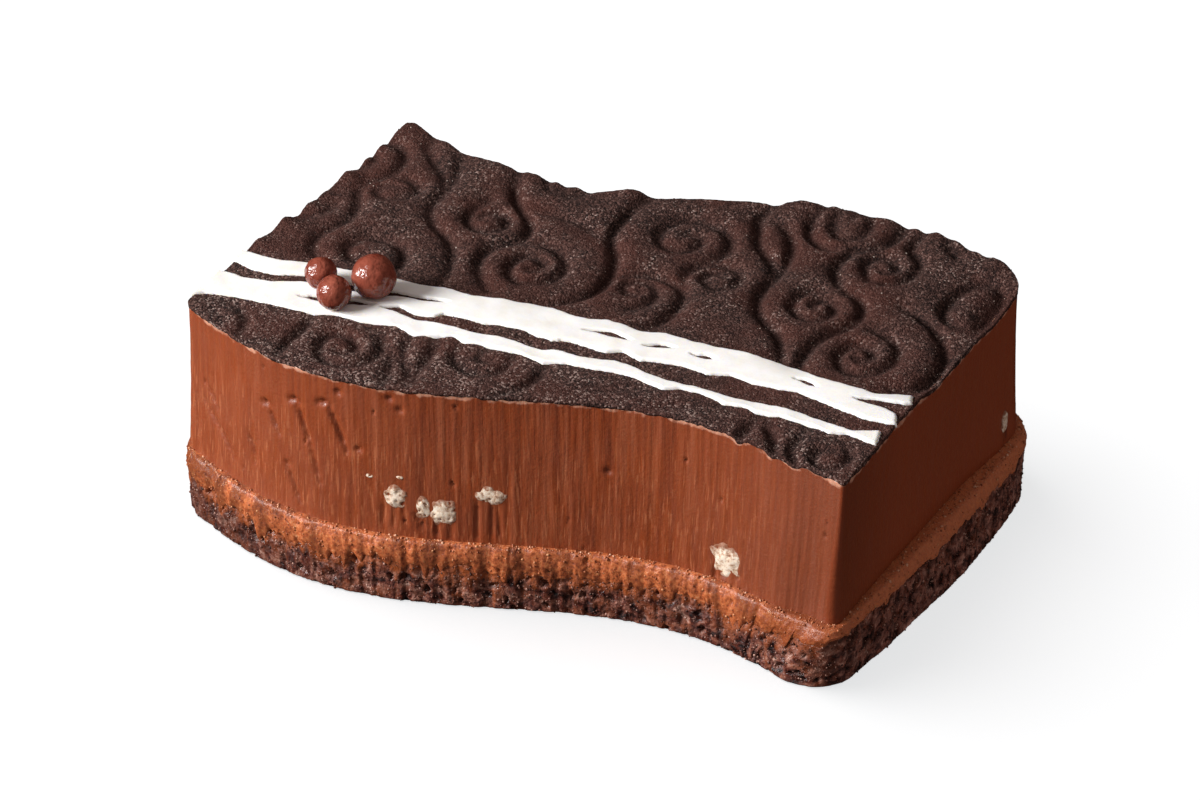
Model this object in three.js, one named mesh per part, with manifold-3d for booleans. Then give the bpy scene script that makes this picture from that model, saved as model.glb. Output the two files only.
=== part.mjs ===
// A wave-cut portion of chocolate hazelnut crunch cake, in millimetres, +Z up.
// From the plate up: dark sponge, hazelnut praline, a deep chocolate mousse with puffed crisps in it, and an
// embossed cocoa top with three lines of white chocolate and three crunch pearls.
// The origin is under the middle of the portion, on the surface that it stands on. +X runs along its length.
import * as THREE from "three";
import { mergeVertices } from "three/addons/utils/BufferGeometryUtils.js";
import Module from "manifold-3d";

const wasm = await Module();
wasm.setup();

// Plan of the portion: a rectangle whose long sides follow one wave, so that neighbours fit together.
const CAKE_LENGTH = 95;
const CAKE_WIDTH = 57;
const WAVE_DEPTH = 6.8;
const WAVE_LENGTH = 101;
const WAVE_SHIFT = 1.3;

// Heights of the layers.
const SPONGE_HEIGHT = 6.2;
const PRALINE_HEIGHT = 3.5;
const MOUSSE_HEIGHT = 20.9;
const COCOA_HEIGHT = 1.4;
const PRALINE_TOP = SPONGE_HEIGHT + PRALINE_HEIGHT;
const MOUSSE_TOP = PRALINE_TOP + MOUSSE_HEIGHT;
const CAKE_TOP = MOUSSE_TOP + COCOA_HEIGHT;
const LAYER_GAP = 0.3;

// How far each layer stands out past the top's outline, and how round its upright corners are.
const BASE_OUTSET = 2.0;
const MOUSSE_FOOT_OUTSET = 1.1;
const BASE_CORNER = 6;
const MOUSSE_CORNER = 1.6;

// Points along a side of each outline, and round each corner.
const BASE_COLUMNS = { long: 46, short: 28, corner: 4 };
const MOUSSE_COLUMNS = { long: 66, short: 38, corner: 3 };
const COCOA_COLUMNS = { long: 40, short: 8, corner: 3 };

// The same sequence of draws between -1 and 1 for a seed, every time.
function draws(seed) {
  let state = seed;
  return () => {
    state = (state + 0x6d2b79f5) | 0;
    let mixed = Math.imul(state ^ (state >>> 15), 1 | state);
    mixed = (mixed + Math.imul(mixed ^ (mixed >>> 7), 61 | mixed)) ^ mixed;
    return ((mixed ^ (mixed >>> 14)) >>> 0) / 2 ** 31 - 1;
  };
}

function waveAt(x) {
  return WAVE_DEPTH * Math.sin((2 * Math.PI * (x - WAVE_SHIFT)) / WAVE_LENGTH);
}

// The wave outline, anticlockwise from the right end of the front, as points with their outward direction.
function outline(outset, cornerRadius, columns) {
  const halfLength = CAKE_LENGTH / 2 + outset - cornerRadius;
  const halfWidth = CAKE_WIDTH / 2 + outset - cornerRadius;
  const centres = [
    [halfLength, -halfWidth],
    [halfLength, halfWidth],
    [-halfLength, halfWidth],
    [-halfLength, -halfWidth],
  ];
  const points = [];
  centres.forEach(([cx, cy], corner) => {
    const start = (corner - 1) * (Math.PI / 2);
    for (let i = 0; i <= columns.corner; i++) {
      const angle = start + ((Math.PI / 2) * i) / columns.corner;
      const out = new THREE.Vector2(Math.cos(angle), Math.sin(angle));
      points.push({ x: cx + cornerRadius * out.x, y: cy + cornerRadius * out.y, out });
    }
    const [nx, ny] = centres[(corner + 1) % 4];
    const steps = corner % 2 === 0 ? columns.short : columns.long;
    const out = new THREE.Vector2(Math.cos(start + Math.PI / 2), Math.sin(start + Math.PI / 2));
    for (let i = 1; i < steps; i++) {
      const t = i / steps;
      points.push({
        x: cx + (nx - cx) * t + cornerRadius * out.x,
        y: cy + (ny - cy) * t + cornerRadius * out.y,
        out,
      });
    }
  });
  return points.map(({ x, y, out }) => ({ x, y: y + waveAt(x), out }));
}

// An outline lifted to a height: push and height are numbers, or functions of the point's place in the ring.
function ring(points, height, push = 0) {
  const at = (value, i) => (typeof value === "function" ? value(i) : value);
  return points.map(
    ({ x, y, out }, i) =>
      new THREE.Vector3(x + out.x * at(push, i), y + out.y * at(push, i), at(height, i)),
  );
}

// A closed skin over a stack of rings with equal counts. Both ends are capped by the triangles of a flat outline.
function loft(rings, flatOutline) {
  const count = rings[0].length;
  const cap = THREE.ShapeUtils.triangulateShape(flatOutline, []);
  const last = (rings.length - 1) * count;
  const index = [];
  for (let r = 0; r + 1 < rings.length; r++) {
    for (let i = 0; i < count; i++) {
      const a = r * count + i;
      const b = r * count + ((i + 1) % count);
      index.push(a, b, b + count, a, b + count, a + count);
    }
  }
  cap.forEach(([a, b, c]) => index.push(c, b, a, last + a, last + b, last + c));
  const geometry = new THREE.BufferGeometry().setFromPoints(rings.flat());
  geometry.setIndex(index);
  return geometry;
}

function slab(rings) {
  return loft(
    rings,
    rings[0].map((p) => new THREE.Vector2(p.x, p.y)),
  );
}

// A bar along a path in plan. sectionAt(t) gives its section as [left of travel, up] pairs, anticlockwise.
function sweep(path, sectionAt) {
  const side = (i) => {
    const ahead = path[Math.min(i + 1, path.length - 1)];
    const behind = path[Math.max(i - 1, 0)];
    const along = new THREE.Vector2(ahead.x - behind.x, ahead.y - behind.y).normalize();
    return new THREE.Vector2(-along.y, along.x);
  };
  const rings = path.map((p, i) => {
    const left = side(i);
    return sectionAt(i / (path.length - 1)).map(
      ([across, up]) => new THREE.Vector3(p.x + left.x * across, p.y + left.y * across, p.z + up),
    );
  });
  return loft(
    rings,
    sectionAt(0.5).map(([across, up]) => new THREE.Vector2(across, up)),
  );
}

function solidOf(geometry) {
  const bare = geometry.clone();
  bare.deleteAttribute("normal");
  bare.deleteAttribute("uv");
  const merged = mergeVertices(bare, 1e-4);
  return new wasm.Manifold(
    new wasm.Mesh({
      numProp: 3,
      vertProperties: merged.attributes.position.array,
      triVerts: new Uint32Array(merged.index.array),
    }),
  );
}

function geometryOf(solid) {
  const { vertProperties, triVerts } = solid.getMesh();
  const geometry = new THREE.BufferGeometry();
  geometry.setAttribute("position", new THREE.BufferAttribute(vertProperties, 3));
  geometry.setIndex(new THREE.BufferAttribute(triVerts, 1));
  geometry.computeVertexNormals();
  return geometry;
}

function together(geometries) {
  return geometries.map(solidOf).reduce((all, one) => all.add(one));
}

// The dark sponge: an open crumb, torn into crags where the portion was cut, with a rounded foot.
const SPONGE_FOOT_ROUND = 0.9;
const CRAG_DEPTH = 0.55;
const CRAG_INSET = 0.2;
const SPONGE_BANDS = [0.36, 0.7, 1];
const SEAM_INSET = 3;
const SEAM_UNEVENNESS = 0.8;
const SEAM_WAVES = 7;
const SEAM_TURNS = { middle: 14, spread: 10 };
const SEAM_RAGGEDNESS = 0.2;

// The praline sank into the sponge unevenly, so their seam wanders up and down at the cut.
function seamHeights(count) {
  const draw = draws(11);
  const waves = Array.from({ length: SEAM_WAVES }, () => ({
    turns: Math.round(SEAM_TURNS.middle + SEAM_TURNS.spread * draw()),
    phase: Math.PI * draw(),
  }));
  return Array.from({ length: count }, (_, i) => {
    const total = waves.reduce(
      (sum, { turns, phase }) => sum + Math.sin((2 * Math.PI * turns * i) / count + phase),
      0,
    );
    return SPONGE_HEIGHT + (SEAM_UNEVENNESS * total) / SEAM_WAVES + SEAM_RAGGEDNESS * draw();
  });
}

function spongeGeometry(seam) {
  const rim = outline(BASE_OUTSET, BASE_CORNER, BASE_COLUMNS);
  const inner = outline(BASE_OUTSET - SEAM_INSET, BASE_CORNER - SEAM_INSET, BASE_COLUMNS);
  const draw = draws(23);
  const crag = () => CRAG_DEPTH * draw() - CRAG_INSET;
  const band = (share) => (i) =>
    SPONGE_FOOT_ROUND + (seam[i] - LAYER_GAP - SPONGE_FOOT_ROUND) * share;
  return slab([
    ring(rim, 0, -SPONGE_FOOT_ROUND),
    ring(rim, SPONGE_FOOT_ROUND, crag),
    ...SPONGE_BANDS.map((share) => ring(rim, band(share), crag)),
    ring(inner, SPONGE_HEIGHT - LAYER_GAP),
  ]);
}

// The hazelnut praline: a thin, soft layer that bulges a little where it was pressed.
const PRALINE_BULGE = 0.35;
const PRALINE_SMEAR = 0.3;
const PRALINE_TUCK = 0.4;

function pralineGeometry(seam) {
  const rim = outline(BASE_OUTSET - PRALINE_BULGE, BASE_CORNER, BASE_COLUMNS);
  const inner = outline(BASE_OUTSET - SEAM_INSET, BASE_CORNER - SEAM_INSET, BASE_COLUMNS);
  const draw = draws(37);
  const smear = () => PRALINE_SMEAR * draw();
  return slab([
    ring(inner, SPONGE_HEIGHT),
    ring(rim, (i) => seam[i], smear),
    ring(rim, (i) => (seam[i] + PRALINE_TOP) / 2, () => PRALINE_BULGE + smear()),
    ring(rim, PRALINE_TOP, () => smear() - PRALINE_TUCK),
  ]);
}

// The mousse: cut with a warm blade that leaves fine upright ribs. It spreads a little at its foot.
const KNIFE_RIB = 0.14;
const FOOT_CURVE = 1.5;
const RIB_LEVELS = [0, 5, 11, MOUSSE_HEIGHT];

// Puffed crisps that the blade cut through: place along their side, height, size across and size up.
const FRONT_CRISPS = [
  { along: -12.6, height: 15.3, across: 1.7, up: 1.6 },
  { along: -8.5, height: 14.2, across: 1.6, up: 1.7 },
  { along: -6.3, height: 13.7, across: 1.9, up: 1.9 },
  { along: -0.3, height: 16.8, across: 2.1, up: 1.3 },
  { along: 30.6, height: 12.4, across: 2.0, up: 2.1 },
];
const RIGHT_CRISPS = [{ along: 23.9, height: 13.4, across: 1.6, up: 1.8 }];
const BACK_CRISPS = [
  { along: -33, height: 14.6, across: 1.8, up: 1.6 },
  { along: -9, height: 12.6, across: 1.7, up: 1.9 },
  { along: 13.5, height: 16.2, across: 2.0, up: 1.6 },
  { along: 17.4, height: 13.9, across: 1.6, up: 1.5 },
];
const LEFT_CRISPS = [{ along: 9.5, height: 13.2, across: 1.9, up: 1.7 }];
const CRISP_PROUD = 0.55;
const CRISP_THICKNESS = 1.6;
const CRISP_SWELL = 0.14;

// How far the mousse's side stands outside the top's outline at a height.
function mousseOutset(height) {
  const rise = (height - PRALINE_TOP) / MOUSSE_HEIGHT;
  return MOUSSE_FOOT_OUTSET * (1 - rise) ** FOOT_CURVE;
}

function mousseSide() {
  const draw = draws(51);
  const foot = outline(0, MOUSSE_CORNER, MOUSSE_COLUMNS);
  const ribs = foot.map(() => KNIFE_RIB * draw());
  const level = (height) => ring(foot, height, (i) => mousseOutset(height) + ribs[i]);
  return slab(RIB_LEVELS.map((rise) => level(PRALINE_TOP + rise)));
}

function crisp(x, y, out, { height, across, up }, draw) {
  const geometry = new THREE.IcosahedronGeometry(1, 1);
  geometry.deleteAttribute("normal");
  geometry.deleteAttribute("uv");
  const ball = mergeVertices(geometry, 1e-3);
  const place = ball.attributes.position;
  for (let i = 0; i < place.count; i++) {
    const swell = 1 + CRISP_SWELL * draw();
    place.setXYZ(i, place.getX(i) * swell, place.getY(i) * swell, place.getZ(i) * swell);
  }
  ball.scale(CRISP_THICKNESS, across, up);
  ball.rotateZ(Math.atan2(out.y, out.x));
  const centre = mousseOutset(height) + CRISP_PROUD - CRISP_THICKNESS;
  return ball.translate(x + out.x * centre, y + out.y * centre, height);
}

function crisps() {
  const draw = draws(67);
  const onLongSide = (sign) => (one) => {
    const slope = (waveAt(one.along + 0.5) - waveAt(one.along - 0.5)) * -sign;
    const out = new THREE.Vector2(slope, sign).normalize();
    return crisp(one.along, (sign * CAKE_WIDTH) / 2 + waveAt(one.along), out, one, draw);
  };
  const onEnd = (sign) => (one) =>
    crisp((sign * CAKE_LENGTH) / 2, one.along, new THREE.Vector2(sign, 0), one, draw);
  return [
    ...FRONT_CRISPS.map(onLongSide(-1)),
    ...BACK_CRISPS.map(onLongSide(1)),
    ...RIGHT_CRISPS.map(onEnd(1)),
    ...LEFT_CRISPS.map(onEnd(-1)),
  ];
}

function mousseGeometry() {
  return geometryOf(solidOf(mousseSide()).add(together(crisps())));
}

// The embossed top. Every curl is a groove that winds in from its outer end: turns is positive anticlockwise.
const GROOVE_DEPTH = 1.1;
const GROOVE_HALF_WIDTH = 1.25;
const GROOVE_FLOOR = 0.4;
const GROOVE_CLEARANCE = 0.4;
const GROOVE_END = { share: 0.45, taper: 3 };
const CURL_STEPS_PER_TURN = 12;
const STEM_STEP = 3.2;
const CURLS = [
  { x: -38.2, y: 8.8, outer: 5.8, inner: 1.3, from: 20, turns: -1.5 },
  { x: -23.5, y: 8.5, outer: 6.6, inner: 1.3, from: 20, turns: -1.6 },
  { x: -12, y: 0.5, outer: 8.3, inner: 1.4, from: -110, turns: -2 },
  { x: 3.5, y: 17.2, outer: 6.3, inner: 1.4, from: -60, turns: 1.3 },
  { x: 3, y: 1.8, outer: 7.5, inner: 1.5, from: -40, turns: 1.6 },
  { x: 11.5, y: 10.5, outer: 3.9, inner: 1.3, from: 110, turns: -1.2 },
  { x: 21, y: 31.3, outer: 7.2, inner: 1.3, from: -45, turns: 1.6 },
  { x: 29.5, y: 22.8, outer: 5.8, inner: 1.2, from: 64, turns: -1.3 },
  { x: 26.5, y: 10.5, outer: 6.2, inner: 1.3, from: -60, turns: 1.7 },
  { x: 36.7, y: 1, outer: 5.4, inner: 1.3, from: 76, turns: -1.6 },
  { x: -6, y: -22, outer: 8.2, inner: 1.6, from: -20, turns: 1.7 },
  { x: -24, y: -29, outer: 7.2, inner: 1.4, from: 150, turns: 1.9 },
  { x: 43.2, y: -21.2, outer: 4.8, inner: 1.2, from: 200, turns: -1.3 },
  { x: -46, y: 15, outer: 4.3, inner: 1.5, from: 70, turns: -1.2 },
  { x: -32, y: -8.5, outer: 4.6, inner: 1.4, from: 190, turns: -1.3 },
];

// Stems: the long grooves that sweep between the curls, as the few places that each one passes.
const STEMS = [
  [[-43.5, 27], [-41, 20], [-37.5, 15.5]],
  [[-36.5, 25], [-35, 18], [-32.8, 12]],
  [[-27.5, 24], [-25.5, 18], [-22.5, 14], [-18.5, 11]],
  [[-24.3, 24], [-23.3, 20], [-20.5, 19.2], [-18, 19.8], [-15.5, 23]],
  [[-6, 27], [-7.6, 20], [-7, 15], [-4.5, 10], [-2, 5], [-1.6, 1], [-3, -3], [-5.5, -6]],
  [[-1.5, 21.5], [-2.4, 18], [-1, 15], [1.5, 13.8]],
  [[9.8, 35], [9.2, 28], [10.5, 22.5], [13, 19], [16, 16]],
  [[12.8, 27], [15.5, 22], [17.8, 17], [18, 11], [16.5, 6.5]],
  [[7.7, 12.5], [7.3, 10], [8.5, 7.5]],
  [[15.3, 33], [16.3, 27], [20, 23.5]],
  [[24.3, 26], [23.3, 23], [23.8, 19.5], [26.5, 15.8]],
  [[28, 38], [28.2, 33], [28.5, 31]],
  [[30.8, 38], [30.7, 33], [31.2, 29.5]],
  [[33.5, 38], [34.6, 33.5], [37, 30.5]],
  [[43, 26.5], [41, 22], [41, 17], [42.5, 13], [44.5, 10], [46.3, 5], [46.6, 1], [45, -2.5]],
  [[20.3, 5], [24, 1.5], [26.5, -2], [27.7, -5]],
  [[30, 3.5], [29.3, 0], [30, -5]],
  [[-45, 7], [-42, 3.5], [-41.2, -1], [-41.8, -5], [-45, -8.5]],
  [[-25.5, 0], [-22.5, -3], [-20.8, -6.5], [-20, -10]],
  [[-40.5, -26], [-37.8, -30], [-36.5, -35]],
  [[-33.5, -25], [-31.5, -28.5], [-31, -35]],
  [[-19.5, -21], [-16.5, -25], [-14.5, -29], [-14, -34]],
  [[-15, -20.5], [-13, -25], [-11.3, -30], [-11.5, -34]],
  [[30.3, -18], [31.5, -21], [31.3, -25]],
  [[32.8, -18.5], [35, -22], [37.5, -26]],
  [[14, -21], [17.5, -18.8], [22.5, -19.5], [25, -23]],
];

class Curl extends THREE.Curve {
  constructor({ x, y, outer, inner, from, turns }) {
    super();
    Object.assign(this, { x, y, outer, inner, turns });
    this.from = THREE.MathUtils.degToRad(from);
  }

  getPoint(t) {
    const angle = this.from + 2 * Math.PI * this.turns * t;
    const radius = this.outer * (this.inner / this.outer) ** t;
    return new THREE.Vector3(
      this.x + radius * Math.cos(angle),
      this.y + radius * Math.sin(angle),
      CAKE_TOP,
    );
  }
}

// A round-bottomed groove that thins out towards its ends.
function groove(path) {
  return sweep(path, (t) => {
    const share = Math.min(1, GROOVE_END.share + GROOVE_END.taper * Math.min(t, 1 - t));
    const half = GROOVE_HALF_WIDTH * share;
    return [
      [-GROOVE_FLOOR * half, -GROOVE_DEPTH * share],
      [GROOVE_FLOOR * half, -GROOVE_DEPTH * share],
      [half, GROOVE_CLEARANCE],
      [-half, GROOVE_CLEARANCE],
    ];
  });
}

function grooves() {
  const curls = CURLS.map((one) =>
    groove(new Curl(one).getPoints(Math.round(CURL_STEPS_PER_TURN * Math.abs(one.turns)))),
  );
  const stems = STEMS.map((places) => {
    const curve = new THREE.CatmullRomCurve3(places.map(([x, y]) => new THREE.Vector3(x, y, CAKE_TOP)));
    return groove(curve.getSpacedPoints(Math.ceil(curve.getLength() / STEM_STEP)));
  });
  return together([...curls, ...stems]);
}

// White chocolate, poured in three lines along the portion before it was cut. Each line is a shallow arc.
const LINES = [
  { middle: -8.6, slope: 0.13, bend: -0.0009, halfWidth: 1.65, seed: 5 },
  { middle: -12.2, slope: 0.14, bend: -0.0016, halfWidth: 1.65, seed: 6 },
  { middle: -17.2, slope: 0.11, bend: -0.001, halfWidth: 1.6, seed: 7 },
];
const LINE_HEIGHT = 1.0;
const LINE_SHOULDER = 0.4;
const LINE_CROWN = 0.6;
const LINE_ROOT = -1.2;
const LINE_END_GAP = 0.1;
const LINE_WANDER = 0.18;
const LINE_WIDTH_SPREAD = 0.25;
const LINE_STEPS = 34;

function lineMiddle({ middle, slope, bend }, x) {
  return middle + slope * x + bend * x * x;
}

function whiteLine(line) {
  const draw = draws(line.seed);
  const path = Array.from({ length: LINE_STEPS + 1 }, (_, i) => {
    const x = (CAKE_LENGTH - 2 * LINE_END_GAP) * (i / LINE_STEPS - 0.5);
    return new THREE.Vector3(x, lineMiddle(line, x) + LINE_WANDER * draw(), CAKE_TOP);
  });
  const widths = path.map(() => line.halfWidth + LINE_WIDTH_SPREAD * draw());
  return sweep(path, (t) => {
    const half = widths[Math.round(t * LINE_STEPS)];
    return [
      [-half, LINE_ROOT],
      [half, LINE_ROOT],
      [half, LINE_SHOULDER],
      [LINE_CROWN * half, LINE_HEIGHT],
      [-LINE_CROWN * half, LINE_HEIGHT],
      [-half, LINE_SHOULDER],
    ];
  });
}

// Crunch pearls: crisp centres in milk chocolate, pressed into the white lines while they were soft.
const PEARLS = [
  { name: "crunch_pearl_large", x: -26.0, y: -16.4, radius: 3.05, seed: 81 },
  { name: "crunch_pearl_front", x: -29.0, y: -21.5, radius: 2.35, seed: 82 },
  { name: "crunch_pearl_small", x: -33.4, y: -17.9, radius: 2.2, seed: 83 },
];
const PEARL_SUNK = 0.5;
const PEARL_CLEARANCE = 0.3;
const PEARL_LUMPS = 0.03;

function pearlCentre({ x, y, radius }) {
  return new THREE.Vector3(x, y, CAKE_TOP + LINE_HEIGHT - PEARL_SUNK + radius);
}

function pearlGeometry(pearl) {
  const draw = draws(pearl.seed);
  const ball = new THREE.IcosahedronGeometry(1, 3);
  ball.deleteAttribute("normal");
  ball.deleteAttribute("uv");
  const merged = mergeVertices(ball, 1e-3);
  const place = merged.attributes.position;
  for (let i = 0; i < place.count; i++) {
    const size = pearl.radius * (1 - (PEARL_LUMPS * (1 - draw())) / 2);
    place.setXYZ(i, place.getX(i) * size, place.getY(i) * size, place.getZ(i) * size);
  }
  const centre = pearlCentre(pearl);
  return merged.translate(centre.x, centre.y, centre.z);
}

function pearlSeat(pearl) {
  const centre = pearlCentre(pearl);
  return new THREE.SphereGeometry(pearl.radius + PEARL_CLEARANCE, 20, 14).translate(
    centre.x,
    centre.y,
    centre.z,
  );
}

function cocoaTopGeometry() {
  const rim = outline(0, MOUSSE_CORNER, COCOA_COLUMNS);
  const skin = solidOf(slab([ring(rim, MOUSSE_TOP), ring(rim, CAKE_TOP)]));
  const lines = together(LINES.map(whiteLine));
  const seats = together(PEARLS.map(pearlSeat));
  return geometryOf(skin.subtract(grooves()).add(lines).subtract(seats));
}

function mesh(name, geometry, color, roughness) {
  const made = new THREE.Mesh(geometry, new THREE.MeshStandardMaterial({ color, roughness, metalness: 0 }));
  made.name = name;
  return made;
}

const cake = new THREE.Group();
cake.name = "chocolate_hazelnut_crunch_cake";
const seam = seamHeights(outline(BASE_OUTSET, BASE_CORNER, BASE_COLUMNS).length);
cake.add(mesh("sponge_base", spongeGeometry(seam), 0x35190f, 0.8));
cake.add(mesh("praline_layer", pralineGeometry(seam), 0x93451f, 0.5));
cake.add(mesh("mousse_layer", mousseGeometry(), 0x74371f, 0.45));
cake.add(mesh("cocoa_top", cocoaTopGeometry(), 0x2b1a16, 0.95));
PEARLS.forEach((pearl) => cake.add(mesh(pearl.name, pearlGeometry(pearl), 0x5a2318, 0.3)));

export default cake;
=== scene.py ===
# A wave-cut portion of chocolate hazelnut crunch cake, made in the order in which it is put together: sponge,
# praline, mousse with its puffed crisps, embossed cocoa top, white chocolate lines and crunch pearls.
import functools
import math

import bmesh
import bpy
import numpy as np
from mathutils import Matrix, Vector, noise
from mathutils.bvhtree import BVHTree


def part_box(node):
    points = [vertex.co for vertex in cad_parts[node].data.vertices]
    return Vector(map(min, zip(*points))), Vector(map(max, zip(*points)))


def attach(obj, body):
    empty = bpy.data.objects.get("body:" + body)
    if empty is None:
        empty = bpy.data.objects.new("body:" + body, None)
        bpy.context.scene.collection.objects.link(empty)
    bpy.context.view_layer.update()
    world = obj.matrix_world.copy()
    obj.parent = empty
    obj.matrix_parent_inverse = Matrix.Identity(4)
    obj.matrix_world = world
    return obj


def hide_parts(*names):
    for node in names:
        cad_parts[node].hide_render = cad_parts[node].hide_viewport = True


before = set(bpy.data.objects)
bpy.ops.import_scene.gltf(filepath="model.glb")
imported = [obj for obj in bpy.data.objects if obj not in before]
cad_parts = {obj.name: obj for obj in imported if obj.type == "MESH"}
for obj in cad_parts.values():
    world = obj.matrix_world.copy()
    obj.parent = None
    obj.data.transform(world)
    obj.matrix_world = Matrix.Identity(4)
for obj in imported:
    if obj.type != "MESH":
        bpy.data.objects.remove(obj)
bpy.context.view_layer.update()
MM = 0.001


# The table, the lights and the camera.
# The portion stands on a white table, in wide soft light from the front left and a pale room. Another light
# from above reaches only the table, so its shadow is soft. A long lens looks down from the front right.
VIEW_AZIMUTH = math.radians(29.29)
VIEW_ELEVATION = math.radians(32.73)
VIEW_DISTANCE = 523.2 * MM
VIEW_ASIDE = -0.81 * MM
VIEW_RAISED = 12.70 * MM
LENS = 114
SENSOR = 36
TABLE_SIZE = 6.0
LIGHTS = [
    ("key_light", Vector((-0.66, -0.6, 0.52)), 0.9, 0.42, 14.0, "EXCLUDE"),
    ("table_light", Vector((-0.62, -0.12, 1.0)), 0.8, 0.8, 3.6, "INCLUDE"),
]
ROOM_STRENGTH = 0.29
TABLE_GLOW = 0.685
# What the kinds of a tree's nodes begin with.
FAMILIES = {
    "ShaderNodeTree": ["ShaderNode"],
    "GeometryNodeTree": ["GeometryNode", "FunctionNode", "ShaderNode", "Node"],
}


def linear(colour):
    """An sRGB hex colour as a linear one, with alpha."""
    shares = [int(colour[i:i + 2], 16) / 255 for i in (1, 3, 5)]
    return (*[s / 12.92 if s <= 0.04045 else ((s + 0.055) / 1.055) ** 2.4 for s in shares], 1)


def feed(node, inputs):
    """Gives a node's inputs, by name or number, a value, a node or a socket. A hex colour turns linear."""
    for name, value in inputs.items():
        socket = node.inputs[name if isinstance(name, int) else name.replace("_", " ")]
        if isinstance(value, bpy.types.Node):
            value = next(output for output in value.outputs if output.enabled)
        if isinstance(value, bpy.types.NodeSocket):
            node.id_data.links.new(value, socket)
        else:
            socket.default_value = linear(value) if str(value).startswith("#") else value


def add_node(tree, kind, *inputs, at=(), stops=(), **given):
    """Adds a node. Its inputs stand in their order, by number in at, or under a name with a capital. The rest
    are settings. A word after the kind is its operation, and stops are a ramp's places and colours."""
    kind, _, operation = kind.partition(" ")
    kinds = [family + kind for family in FAMILIES[tree.bl_idname]]
    made = tree.nodes.new(next(full for full in kinds if hasattr(bpy.types, full)))
    if operation:
        made.operation = operation
    for name in filter(str.islower, given):
        setattr(made, name, given[name])
    if stops:
        for position, _ in stops[1:-1]:
            made.color_ramp.elements.new(position)
        for element, (position, colour) in zip(made.color_ramp.elements, stops):
            element.position = position
            element.color = linear(colour)
    named = {name: value for name, value in given.items() if not name.islower()}
    feed(made, {**dict(enumerate(inputs)), **dict(at), **named})
    return made


def new_object(name, data):
    """An object of this name and data, in the scene."""
    made = bpy.data.objects.new(name, data)
    bpy.context.collection.objects.link(made)
    return made


def new_material(name, **shader):
    """A material with a principled shader of these even values, and what adds nodes to it."""
    made = bpy.data.materials.new(name)
    made.use_nodes = True
    made.node_tree.nodes.clear()
    add = functools.partial(add_node, made.node_tree)
    surface = add("BsdfPrincipled", **shader)
    add("OutputMaterial", Surface=surface)
    return made, add, surface


level = math.cos(VIEW_ELEVATION)
back = Vector((math.sin(VIEW_AZIMUTH) * level, -math.cos(VIEW_AZIMUTH) * level, math.sin(VIEW_ELEVATION)))
right = Vector((0, 0, 1)).cross(back).normalized()
up = back.cross(right)
camera = new_object("camera", bpy.data.cameras.new("camera"))
camera.data.lens = LENS
camera.data.sensor_width = SENSOR
camera.matrix_world = Matrix((right, up, back)).transposed().to_4x4()
camera.location = back * VIEW_DISTANCE + right * VIEW_ASIDE + up * VIEW_RAISED
bpy.context.scene.camera = camera

room = bpy.data.worlds.new("white_room")
room.use_nodes = True
feed(room.node_tree.nodes["Background"], {"Color": "#fff0ea", "Strength": ROOM_STRENGTH})
room.cycles_visibility.glossy = False
bpy.context.scene.world = room
bpy.context.scene.view_settings.view_transform = "Standard"

table_material, _, _ = new_material(
    "matt_white_table", Base_Color="#d2d2d2", Roughness=0.9, Specular_IOR_Level=0.1, Emission_Color="#f9fdff",
    Emission_Strength=TABLE_GLOW,
)
table_mesh = bpy.data.meshes.new("table")
corners = [(x * TABLE_SIZE / 2, y * TABLE_SIZE / 2, 0) for x, y in ((-1, -1), (1, -1), (1, 1), (-1, 1))]
table_mesh.from_pydata(corners, [], [(0, 1, 2, 3)])
table_mesh.materials.append(table_material)
table = new_object("table", table_mesh)
table.visible_diffuse = False
table.visible_glossy = False

for name, towards, distance, size, watts, at_table in LIGHTS:
    lamp = new_object(name, bpy.data.lights.new(name, "AREA"))
    lamp.data.shape = "DISK"
    lamp.data.size = size
    lamp.data.energy = watts
    lamp.location = towards.normalized() * distance
    lamp.rotation_euler = towards.to_track_quat("Z", "Y").to_euler()
    lit = bpy.data.collections.new(name + "_reach")
    lit.objects.link(table)
    lit.collection_objects[0].light_linking.link_state = at_table
    lamp.light_linking.receiver_collection = lit


# The sponge.
# A moist, dark chocolate sponge with an open crumb, torn where the portion was cut and rounded where it sat
# on its tray. The wave outline is lifted through its height and then broken into crumb.
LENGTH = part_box("cocoa_top")[1][0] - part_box("cocoa_top")[0][0]
WIDTH = 57 * MM
WAVE_DEPTH = 6.8 * MM
WAVE_LENGTH = 101 * MM
WAVE_SHIFT = 1.3 * MM
BASE_OUTSET = 2.35 * MM
BASE_CORNERS = np.array([3.2, 5.5, 4.0, 3.5]) * MM
FOOT_CORNERS = np.array([9.0, 6.5, 6.0, 4.0]) * MM
# How far the right side stands out further, at the foot and at the upper edge: y and distance in millimetres.
FOOT_SIDE = [(-28.5, -1.8), (-21, -1.5), (-14, -0.45), (-7, 0.05), (0, 0.8), (7, 1.25), (20, 1.1), (28, 0.4)]
EDGE_SIDE = [(-28.5, -1.8), (-21, -1.4), (-14, -0.9), (-7, -0.6), (0, -0.3), (7, 0.0), (20, 0.5), (28, 0.2)]
SIDE_REACH = 14 * MM
BASE_LEFT_IN = 0.65 * MM
TRIM_START = 37 * MM
END_TRIM = 1.5 * MM
BASE_COLUMNS = {"corner": 24, "right": 300, "back": 440, "left": 250, "front": 560}
SEAM = 6.2 * MM
PRALINE_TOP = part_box("praline_layer")[1][2]
FOOT_ROUND = 0.4 * MM
FOOT_STEPS = 5
SPONGE_ROWS = 30
SEAM_REACH = 3.2 * MM
SEAM_CALM = 0.45
LID_INSET = 3 * MM
LID_DROP = 0.4 * MM
SIDES = ("right", "back", "left", "front")
QUIET = 0.85
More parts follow.
